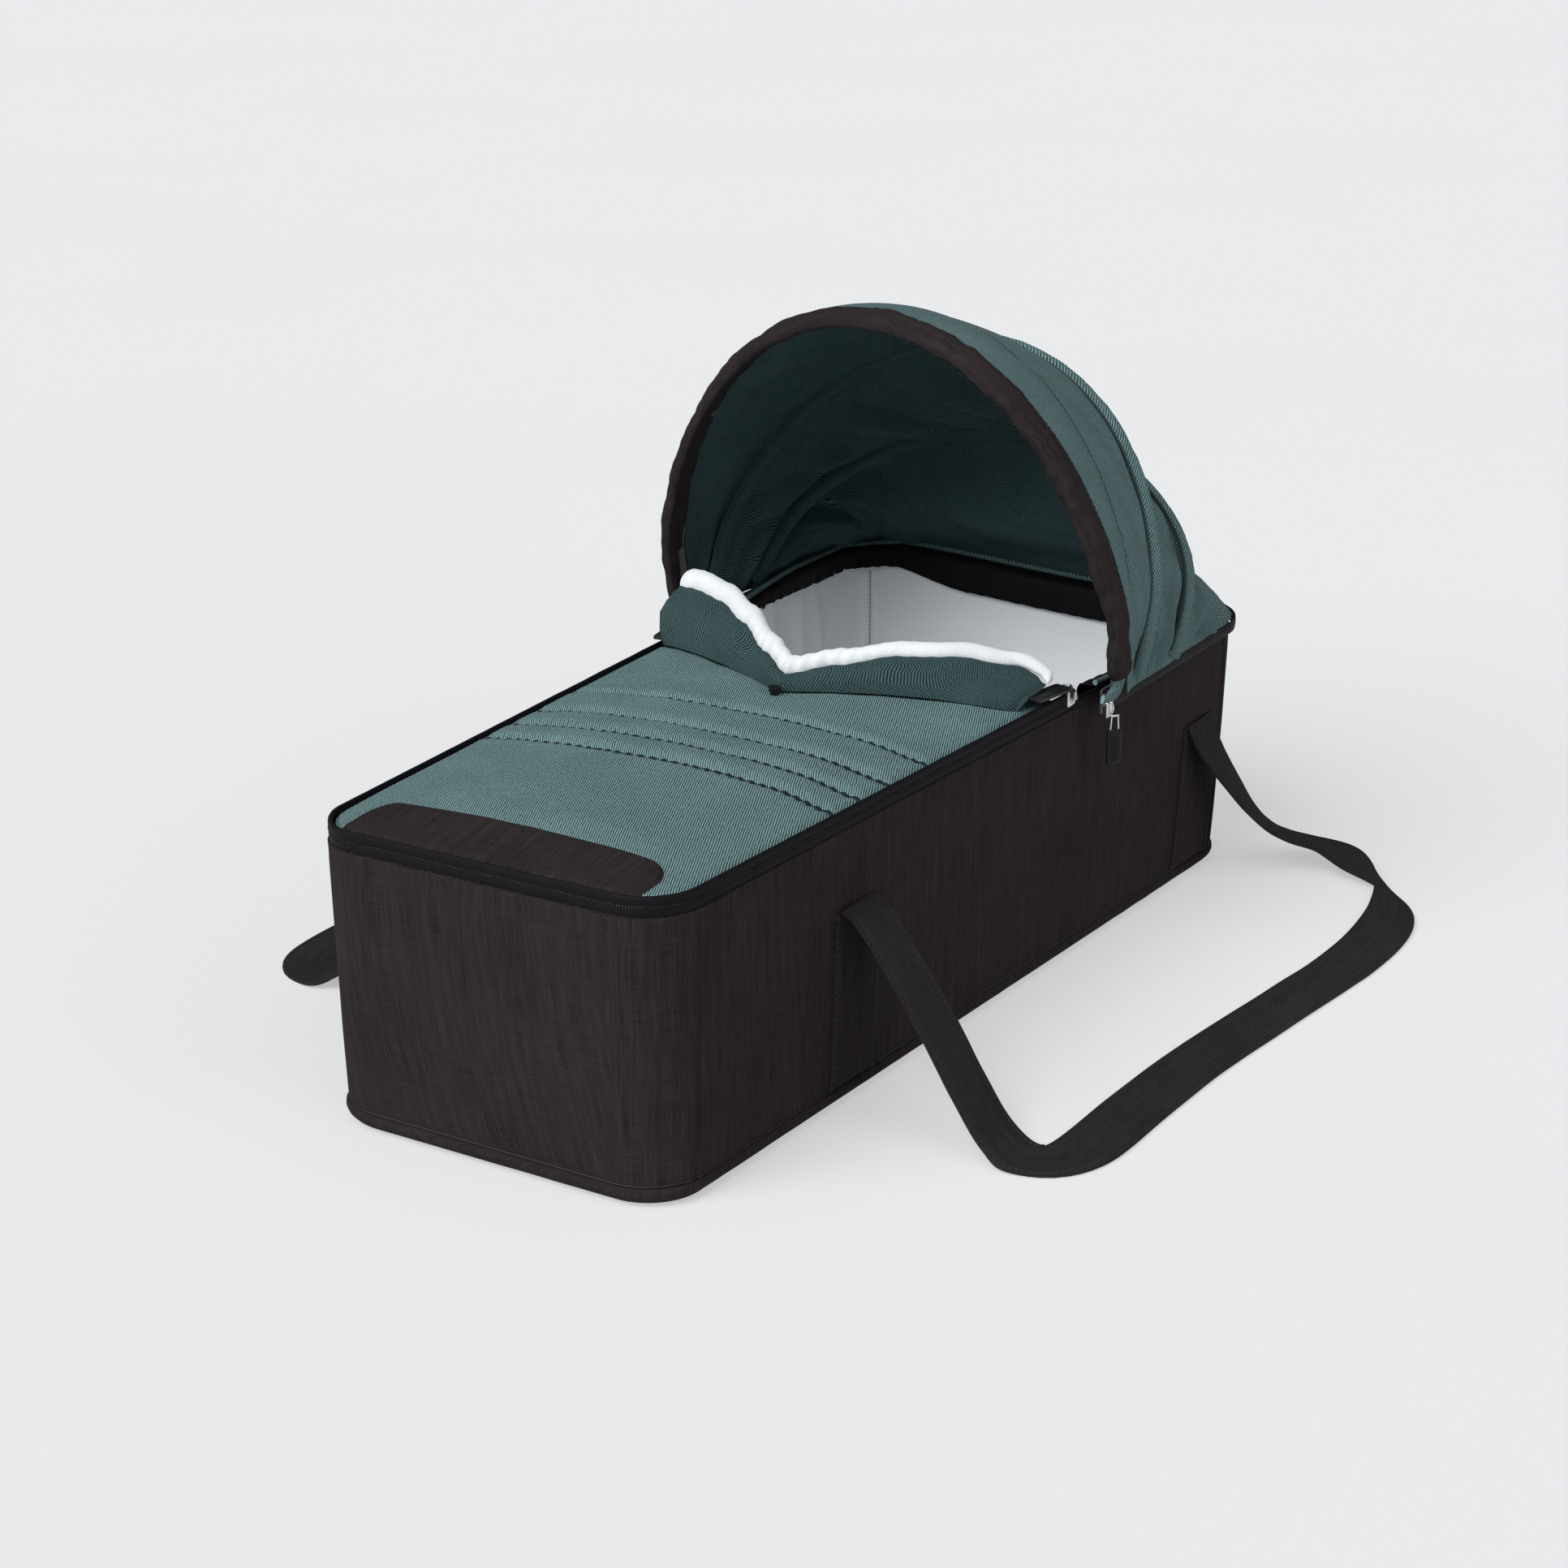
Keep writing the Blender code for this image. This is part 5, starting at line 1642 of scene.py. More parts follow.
    def build_quilting(self) -> None:
        """The four sewn lines across the pad."""
        seams = []
        for line in self.quilt_lines:
            reach = self.half(line) - 3 * MM
            seams.append([self.on_top(line + self.line_bend(y), y, 0.6 * MM)
                          for y in spread(-reach, reach, self.seam_steps)])
        sewing = Sewing(3.0 * MM, 0.35 * MM, 0.55 * MM)
        thread = sewing.sew("apron_quilt_stitches", seams, self.wardrobe.teal_thread)
        add_to(thread, "apron", "teal_twill")

    def panel_half(self, x: float) -> float:
        """Half of the foot panel's width at x."""
        middle = (self.panel_start + self.panel_end) / 2
        share = min(max((x - middle) / (self.panel_end - middle), 0.0), 1.0)
        drawn = self.panel_rounding * (1 - (1 - share ** 2) ** 0.5)
        straight = PLAN.half_width(self.panel_end) - self.panel_side_margin
        return min(straight - drawn, self.half(x) - 1.5 * MM)

    def build_foot_panel(self) -> None:
        """The charcoal panel sewn on over the foot, rounded at its head corners."""
        rows = []
        steps, half_steps = 26, 30
        for row in range(steps + 1):
            share = 0.5 - 0.5 * cos(pi * row / steps)
            x = mix(self.panel_start, self.panel_end, share)
            half = self.panel_half(x)
            upper, lower = [], []
            for column in range(2 * half_steps + 1):
                y = half * sin(pi / 2 * (column / half_steps - 1))
                inward = min(half - abs(y), x - self.panel_start, self.panel_end - x)
                lift = 0.5 * MM + self.panel_lift * smooth(inward / (4 * MM))
                lift -= 0.5 * MM * bell(inward - self.panel_seam, 1.4 * MM)
                lift += 0.5 * MM * grain(x, y * 0.6, 4, 24 * MM) * smooth(inward / (10 * MM))
                upper.append(self.on_top(x, y, lift))
                lower.append(self.on_top(x, y, 0.25 * MM))
            rows.append(upper + lower[::-1])
        panel = loft("foot_panel_cloth", rows, self.wardrobe.charcoal, chart=lambda at: (at.y, at.x))
        add_to(panel, "apron", "cover_fabric", "apron_foot_panel")
        edge = [(x, self.panel_half(x) - self.panel_seam)
                for x in spread(self.panel_start + 2 * MM, self.panel_end - self.panel_seam, 20)]
        corners = [(x, -y) for x, y in edge] + edge[::-1]
        route = resampled([self.on_top(x, y, 1.9 * MM) for x, y in corners], 3 * MM)
        seam = [self.on_top(at.x, at.y, 2.3 * MM) for at in route]
        sewing = Sewing(2.6 * MM, 1.4 * MM, 0.4 * MM)
        thread = sewing.sew("foot_panel_stitches", [seam], self.wardrobe.dark_thread)
        add_to(thread, "apron", "cover_fabric")


@dataclass
class WindFlap:
    """The flap that stands up round the apron's head edge, with its white roll."""

    wardrobe: Wardrobe
    apron: Apron
    lean: float = radians(42)
    thickness: float = 10 * MM
    root: float = 6.6 * MM
    end_margin: float = 8 * MM
    roll: float = 15 * MM
    left_flare: float = 11 * MM
    right_flare: float = 5 * MM
    sweep: float = 34 * MM
    lip: float = 6.5 * MM
    steps: int = 120
    right_heights: tuple[tuple[float, float], ...] = (
        (0.0, 9.0), (0.2, 17.0), (0.45, 27.0), (0.66, 29.0), (0.84, 21.0), (1.0, 10.0))
    left_heights: tuple[tuple[float, float], ...] = (
        (0.0, 9.0), (0.2, 18.0), (0.45, 33.0), (0.7, 44.0), (0.9, 50.0), (1.0, 50.0))
    face_end: float = 12 * MM
    roll_end: float = 10 * MM
    ripple_pitch: float = 11 * MM
    pucker_pitch: float = 9 * MM
    middle_reach: float = 46 * MM
    roll_sides: int = 20
    snap_radius: float = 4.2 * MM

    def build(self) -> None:
        """Build the flap's face, its roll and the press button."""
        self.build_face()
        self.build_roll()
        self.build_snap()

    def half(self) -> float:
        """Half of the flap's width."""
        return self.apron.half(self.apron.crease_side) - self.end_margin

    def frame_at(self, y: float) -> tuple[Vector, float]:
        """The flap's foot at y with its height there.

        Args:
            y: The place across the cot.

        Returns:
            The foot and the height.
        """
        stops = self.right_heights if y < 0 else self.left_heights
        height = through(stops, abs(y) / self.half()) * MM
        x = self.apron.crease(y) + self.root
        share = self.apron.crown_share(x, y)
        z = self.apron.low + self.apron.edge + self.apron.crown * share + 1.5 * MM
        return Vector((x, y, z)), height

    def section_point(self, y: float, along: float, out: float) -> Vector:
        """A point of the flap's section at y.

        Args:
            y: The place across the cot.
            along: The place up the flap.
            out: The place towards the foot.

        Returns:
            The point.
        """
        foot, _ = self.frame_at(y)
        bend = self.lean * mix(0.72, 1.16, min(along / (45 * MM), 1.0))
        rise = Vector((sin(bend), 0, cos(bend)))
        face = Vector((-cos(bend), 0, sin(bend)))
        first, sweep, flare = (0.55, self.sweep, self.right_flare) if y < 0 else (0.7, 0.0, self.left_flare)
        edge = smooth((abs(y) / self.half() - first) / (1 - first)) * smooth(along / (14 * MM))
        return foot + rise * along + face * out + Vector((sweep * edge, copysign(flare * edge, y), 0))

    def build_face(self) -> None:
        """The teal face, puffed out over the crease."""
        section = ((0.0, -0.3), (-0.03, 0.35), (0.06, 0.85), (0.2, 1.1), (0.4, 1.15), (0.6, 1.0), (0.8, 0.72),
                   (0.95, 0.45), (1.02, 0.2), (1.0, -0.25), (0.8, -0.42), (0.5, -0.5), (0.2, -0.45))
        rows = []
        half = self.half()
        for step in range(self.steps + 1):
            y = half * (2 * step / self.steps - 1)
            _, height = self.frame_at(y)
            round_end = rounded(0.45, min((half - abs(y)) / self.face_end, 1.0))
            row = []
            for along, out in section:
                puff = out * self.thickness * round_end
                fold = grain(y * 1.4, along * 0.03, 2.0, 34 * MM) * 2.6 * MM
                fold -= 1.6 * MM * bell(y * 0.4 + along * 12 * MM, 6 * MM)
                ripple = 0.7 * MM * sin(y / self.ripple_pitch * 2 * pi + 3 * grain(y, 0, 0, 40 * MM))
                ripple *= bell(along - 1, 0.25)
                front = smooth(out + 0.2)
                fold *= front * sin(pi * min(max(along, 0), 1)) ** 0.5
                tucked = self.lip * smooth(out) * (1 - smooth(along / 0.35))
                row.append(self.section_point(y, height * along - tucked, puff + fold + ripple * front))
            rows.append(row)
        # The face wears the darkened flap twill: painted shade for its overhanging face.
        face = loft("wind_flap_face", rows, self.wardrobe.flap)
        add_to(face, "flap", "teal_twill", "wind_flap")

    def build_roll(self) -> None:
        """The white roll, drawn in with small puckers."""
        rows = []
        half = self.half()
        for step in range(self.steps * 2 + 1):
            y = half * (step / self.steps - 1)
            _, height = self.frame_at(y)
            round_end = rounded(0.4, min((half - abs(y)) / self.roll_end, 1.0))
            middle = bell(y, self.middle_reach)
            gather = sin(y / self.pucker_pitch * 2 * pi + 5 * grain(y, 0, 1, 30 * MM))
            pucker = 1 + (0.008 + 0.06 * middle) * gather
            wide = self.roll / 2 * round_end * pucker * mix(1.0, 1.08, middle)
            wide *= 1 + 0.24 * smooth(2 * y / half) - 0.4 * smooth((-y / half - 0.62) / 0.38)
            centre = height + self.roll * 0.42 * round_end
            row = []
            for turn in circle(self.roll_sides):
                lump = 1 + 0.015 * grain(y, cos(turn) * 0.02, sin(turn) * 0.02, 30 * MM)
                along = centre + sin(turn) * wide * 1.05 * lump
                row.append(self.section_point(y, along, cos(turn) * wide * 0.92 * lump))
            rows.append(row)
        roll = loft("wind_flap_fleece", rows, self.wardrobe.fleece)
        add_to(roll, "flap", "white_lining", "wind_flap_roll")

    def build_snap(self) -> None:
        """The press button under the middle of the flap."""
        for name, node, body, share in (("snap_stud", "snap_socket", "apron", 0.8),
                                        ("snap_button", "snap_cap", "flap", 1.0)):
            centre, size = box_of(node)
            button = bench.disc(name, centre, self.snap_radius * share, size.z, self.wardrobe.snap)
            add_to(button, body, "snap_plastic", node)


# The canopy


PIN_HEIGHT = 202 * MM


@dataclass(frozen=True)
class Arch:
    """An arch over the cot, from its right foot at 0 to its left foot at 1."""

    foot: float
    reach: float
    half: float
    angle: float
    roundness: float
    outset: float

    def at(self, share: float, extra: float = 0.0) -> Vector:
        """A point of the arch.

        Args:
            share: The place along it.
            extra: An outset on top of its own.

        Returns:
            The point.
        """
        turn = pi * share
        outset = self.outset + extra
        across = -copysign(abs(cos(turn)) ** (2 / self.roundness), cos(turn))
        up = abs(sin(turn)) ** (2 / self.roundness) * (self.reach + outset)
        widened = 8 * MM * smooth(up * sin(self.angle) / (75 * MM))
        y = across * (self.half + widened + outset)
        return Vector((self.foot + up * cos(self.angle), y, PIN_HEIGHT + up * sin(self.angle)))

    def towards(self, other: "Arch", share: float) -> "Arch":
        """The arch part of the way to another one."""
        return Arch(*(mix(mine, theirs, share) for mine, theirs in
                      zip(self.__dict__.values(), other.__dict__.values())))

    def back(self) -> Vector:
        """The direction square to the arch's plane, towards the head."""
        return Vector((sin(self.angle), 0.0, -cos(self.angle)))

    def outward(self, share: float) -> Vector:
        """The direction outwards in the arch's plane at a place."""
        run = self.at(min(share + 0.004, 1.0)) - self.at(max(share - 0.004, 0.0))
        plane = Vector((0.0, 1.0, 0.0)).cross(Vector((cos(self.angle), 0.0, sin(self.angle))))
        return plane.cross(run).normalized()


@dataclass
class Canopy:
    """The folding canopy: three panels, piped seams, bow tunnels and padded trim."""

    wardrobe: Wardrobe
    front: Arch = Arch(137.3 * MM, 262 * MM, 181 * MM, radians(99), 2.04, 5.8 * MM)
    middle: Arch = Arch(155 * MM, 234 * MM, 181 * MM, radians(65), 2.04, 2.4 * MM)
    rear: Arch = Arch(219 * MM, 170 * MM, 181 * MM, radians(49), 2.04, 2.4 * MM)
    base: Arch = Arch(245 * MM, 147.4 * MM, 179.8 * MM, 0.0, 5.6, 0.6 * MM)
    trim_arch: Arch = Arch(131 * MM, 262 * MM, 181 * MM, radians(99), 2.04, 0.3 * MM)
    thickness: float = 1.6 * MM
    steps: int = 150
    seam_share: float = 0.33
    seam_steps: int = 180
    rear_gathers: int = 34
    panel_scale: float = 100 * MM
    seam_dip: float = 1.3 * MM
    front_sag: float = 3.0
    front_blend: tuple[tuple[float, float, float], ...] = ((0.493, 0, 0.297), (0.059, 0, 0.459))
    ridge_section: tuple[tuple[float, float], ...] = (
        (-6.0, -0.8), (-5.4, 2.4), (-3.9, 6.2), (-1.5, 8.4), (1.5, 8.4), (3.9, 6.2), (5.4, 2.4), (6.0, -0.8))
    cord_radius: float = 1.4 * MM
    tunnel_section: tuple[tuple[float, float], ...] = (
        (-9.0, -3.2), (-6.5, -5.4), (-4.6, -7.0), (4.6, -7.0), (6.5, -5.4), (9.0, -3.2), (9.0, -2.4),
        (-9.0, -2.4))
    trim_sides: int = 26
    trim_foot: float = 217 * MM
    tuck_sides: int = 18
    tuck_stops: tuple[tuple[float, float, float, float], ...] = (
        (131, 188.5, 232, 4.5), (129.5, 187.2, 222, 6.0), (128, 185.6, 213, 7.0), (125, 184.2, 206.5, 6.4),
        (120, 183.0, 202.6, 5.0), (114.5, 182.2, 201.6, 4.6), (110, 181.4, 203.6, 3.4))

    def build(self) -> None:
        """Build the panels, seams, tunnels, trim and the cloth at the corners."""
        self.build_panels()
        self.build_ridges()
        self.build_tunnels()
        self.build_trim()
        self.build_seams()
        for side in Side:
            self.build_corner_tuck(side)

    def crease(self, share: float, v: float, seed: float) -> float:
        """Long soft folds that run aslant over a panel, from -1 to 1."""
        run, down = share * 600, v * 130
        place = Vector(((run * 0.78 + down * 0.62) / 27, (down * 0.78 - run * 0.62) / 105, seed))
        return noise.noise(place) * 1.4 * off_ends(share, 0.06)

    def inner_swell(self, share: float, v: float) -> float:
        """How far a panel's inner face hangs into the canopy in soft folds."""
        return 8 * MM * abs(self.crease(share, v * 0.9, 3.7)) ** 0.8 * sin(pi * max(v, 0.0)) ** 0.6

    def front_fold(self, share: float, v: float) -> float:
        """Folds of the front panel."""
        seam = -self.seam_dip * bell((v - self.seam_share) * self.panel_scale, 2.4 * MM)
        hump = 1.6 * MM * bell((v - self.seam_share * 0.5) * self.panel_scale, 14 * MM)
        seam -= 3.8 * MM * bell((1 - v) * 165 - 10, 5)
        side = sin(pi * v) * 2.3 * MM * self.crease(share, v, 1.3)
        foot = (1 - off_ends(share, 0.3)) * 1.6 * MM * sin(2 * pi * 2.2 * v + 0.6)
        return (seam + hump) * off_ends(share, 0.05) + side + foot * sin(pi * v) - 1.6 * MM * sin(pi * v)

    def middle_fold(self, share: float, v: float) -> float:
        """Folds of the middle panel."""
        foot = 1 - off_ends(share, 0.3)
        fan = foot * (3.6 * MM * sin(2 * pi * 2.4 * v + 0.9) + 1.3 * MM * sin(2 * pi * 5.1 * v + share * 9))
        long = 1.8 * MM * sin(2 * pi * 1.3 * v + 5 * share + 1.5) * (1 - foot)
        side = 5.0 * MM * self.crease(share, v, 5.2) - 3.4 * MM * bell(v * 113 - 11, 6) - 4.6 * MM
        side -= 5.4 * MM * bell((1 - v) * 113 - 10, 5)
        return (fan + long + side) * sin(pi * v) ** 0.6

    def rear_fold(self, share: float, v: float) -> float:
        """Folds of the rear panel."""
        foot = 1 - off_ends(share, 0.36)
        fan = foot * (4.2 * MM * sin(2 * pi * 1.7 * v + 1.2) + 1.5 * MM * sin(2 * pi * 4.3 * v + share * 12))
        long = 2.2 * MM * sin(2 * pi * 1.1 * v + 4 * share) * (1 - foot)
        side = 5.0 * MM * self.crease(share, v, 9.4) - 2.6 * MM * bell(v * 144 - 11, 6) - 7.5 * MM
        gather = 0.9 * MM * sin(share * 2 * pi * self.rear_gathers + 3 * grain(share, 0, 0, 0.05))
        gather *= smooth((v - 0.72) / 0.28)
        return (fan + long + side) * sin(pi * v) ** 0.6 + gather * (1 - foot * 0.4)

    def build_panels(self) -> None:
        """The three panels of teal cloth."""
        for word, start, end, first, sag, folds, count, (blend_start, blend_end), flat in (
            ("front", self.front, self.middle, -0.03, self.front_sag, self.front_fold, 34,
             self.front_blend, (0.16, 0.66)),
            ("middle", self.middle, self.rear, 0.001, 6.0, self.middle_fold, 30,
             ((0.414, 0, 0.219), (0.267, 0, 0.429)), (0.095, 0.6)),
            ("rear", self.rear, self.base, 0.001, 25.0, self.rear_fold, 34,
             ((0.397, 0, 0.197), (0.350, 0, 0.343)), (0.17, 0.6)),
        ):
            rows = []
            for share in spread(0.0, 1.0, self.steps):
                outer, inner = [], []
                for v in spread(first, 1.0, count):
                    arch = start.towards(end, v)
                    extra = folds(share, v) * off_ends(share, 0.02) - self.hollow(share, v, sag)
                    outer.append(arch.at(share, extra + self.thickness))
                    inner.append(arch.at(share, extra - self.inner_swell(share, v)))
                rows.append(outer + inner[::-1])
            panel = loft(f"canopy_{word}_cloth", rows, self.wardrobe.hood)
            # Inner faces take the darker hood copy as painted shade inside the canopy.
            panel.data.materials.append(self.wardrobe.hood_inside)
            for face in panel.data.polygons[:self.steps * 2 * (count + 1)]:
                face.material_index = int(face.index % (2 * (count + 1)) > count)
            flat[0] * flat[1] * 0.8
            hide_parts(f"canopy_{word}_panel")
            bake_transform(panel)
            log.info("%s bends between cot and %s", panel.name, f"canopy_{word}")

    def hollow(self, share: float, v: float, sag: float) -> float:
        """How far a panel sags between its bows; sag is the most, in millimetres."""
        return sag * MM * sin(pi * v) ** 2 * sin(pi * share) ** 0.8

    def strip(self, arch: Arch, section: Sequence[tuple[float, float]], first: float, last: float,
              wrinkle: float) -> Rows:
        """Rows of a strip that runs along an arch.

        Args:
            arch: The arch to follow.
            section: Pairs of place along the cot and place outwards, in millimetres.
            first: Where the strip starts along the arch.
            last: Where it ends.
            wrinkle: How much it wrinkles.

        Returns:
            The strip's rows.
        """
        rows = []
        for share in spread(first, last, self.steps * 2):
            centre, out, back = arch.at(share), arch.outward(share), arch.back()
            row = []
            for along, high in section:
                crinkle = wrinkle * (grain(share * 0.9, along * 0.002, 3.0, 16 * MM)
                                     + 0.6 * grain(share * 0.9, along * 0.003, 8.0, 6 * MM))
                row.append(centre + back * along * MM + out * (high * MM + crinkle * smooth(high / 3)))
            rows.append(row)
        return rows

    def build_ridges(self) -> None:
        """The raised piping over the middle and rear bows, with a dark cord along each side as painted crease
        shade.
        """
        for word, arch, tall, length in (("middle", self.middle, 0.9, 0.66), ("rear", self.rear, 0.8, 0.57)):
            section = [(along, high * tall) for along, high in self.ridge_section]
            rows = self.strip(arch, section, 0.01, 0.99, 0.45 * MM)
            ridge = loft(f"{word}_ridge", rows, self.wardrobe.hood)
            add_to(ridge, f"canopy_{word}", "teal_twill")
            # The dark thread cords along each side of a ridge are painted shade: they stand for the dark
            # creases beside the piping.
            for label, along, high in (("front", -6.9, 1.5), ("back", 6.9, -0.8)):
                path = [row[0] for row in self.strip(arch, [(along, high)], 0.015, 0.985, 0.0)]
                cord = tube(f"{word}_ridge_{label}_cord", path, self.cord_radius,
                            self.wardrobe.teal_thread, 6, lean=Vector((1, 0, 0)))
                add_to(cord, f"canopy_{word}", "teal_twill")

    def build_tunnels(self) -> None:
        """The sewn tunnels that hold the middle and rear bows inside."""
        for word, bow, drawn, length in (("middle", self.middle, 1.6 * MM, 0.66),
                                         ("rear", self.rear, 3.4 * MM, 0.57)):
            arch = replace(bow, half=bow.half - drawn)
            rows = self.strip(arch, self.tunnel_section, 0.012, 0.988, 0.0)
            # The tunnels wear the darker inner hood copy as painted shade inside the canopy.
            tunnel = loft(f"{word}_tunnel", rows, self.wardrobe.hood_inside)
            add_to(tunnel, f"canopy_{word}", "teal_twill")
            seams = [[row[0] for row in self.strip(arch, ((along, -5.2),), 0.02, 0.98, 0.0)]
                     for along in (-7.2, 7.2)]
            thread = Sewing().sew(f"{word}_tunnel_stitches", seams, self.wardrobe.teal_thread)
            add_to(thread, f"canopy_{word}", "teal_twill")

    def build_trim(self) -> None:
        """The padded charcoal trim along the front edge."""
        rows = []
        arch = self.trim_arch
        first = 0.0
        while arch.at(first).z < self.trim_foot:
            first += 0.0005
        total, end_steps = self.steps * 3, 9
        for step, share in enumerate(spread(first, 1 - first, total)):
            centre, out, back = arch.at(share), arch.outward(share), arch.back()
            pinch = rounded(0.7, min(min(step, total - step) / end_steps, 1.0))
            shift = 3.8 * (1 - smooth((min(share, 1 - share) - first) / 0.12))
            row = []
            for turn in circle(self.trim_sides):
                along = -6 + 12 * cos(turn) + shift
                high = 9.0 * abs(sin(turn)) ** 0.75 if sin(turn) >= 0 else -3.4 * abs(sin(turn)) ** 0.5
                high += 0.6 * shift
                pucker = grain(share * 0.72, cos(turn) * 0.004, sin(turn) * 0.004, 9 * MM)
                wide = grain(share * 0.72, 0.0, cos(turn) * 0.006, 30 * MM)
                tight = 1.6 * MM * pucker * (0.35 + abs(cos(turn))) + 0.9 * MM * wide
                puff = 1.0 + 0.14 * wide
                row.append(centre + back * (along * pinch * MM + tight * 0.9 * cos(turn))
                           + out * (high * pinch * puff * MM + tight * sin(turn)))
            rows.append(row)
        trim = loft("canopy_trim", rows, self.wardrobe.charcoal)
        add_to(trim, "canopy_front", "cover_fabric", "canopy_front_trim")

    def build_seams(self) -> None:
        """The stitched line behind the trim."""
        v = self.seam_share
        arch = self.front.towards(self.middle, v)
        lines = []
        for extra in (1.75 * MM, -0.35 * MM):
            line = []
            for share in spread(0.03, 0.97, self.seam_steps):
                fold = self.front_fold(share, v)
                line.append(arch.at(share, extra + fold - self.hollow(share, v, self.front_sag)))
            lines.append(line)
        sewing = Sewing(3.6 * MM, 0.6 * MM, 0.7 * MM)
        thread = sewing.sew("canopy_front_stitches", lines, self.wardrobe.teal_thread)
        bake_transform(thread)

    def build_corner_tuck(self, side: Side) -> None:
        """The gathered cloth below the trim's end.

        Args:
            side: The cot's side.
        """
        stops, steps = self.tuck_stops, 6
        across = Vector((0, 1, 0))
        centres = curved([Vector((x * MM, side.value * y * MM, z * MM)) for x, y, z, _ in stops], steps)
        radii = [(float(place), stop[3] * MM) for place, stop in enumerate(stops)]
        rows = []
        for index, centre in enumerate(centres):
            radius = through(radii, min(index / steps, len(stops) - 1))
            flat = heading(centres, index).cross(across).normalized()
            row = []
            for turn in circle(self.tuck_sides):
                gather = 1 + 0.12 * sin(5 * turn + index * 0.3)
                row.append(centre + (flat * cos(turn) + across * 0.42 * sin(turn)) * radius * gather)
            rows.append(row)
        tuck = loft(f"{side.word}_corner_tuck", rows, self.wardrobe.hood)
        add_to(tuck, "cot", "teal_twill")


# Straps


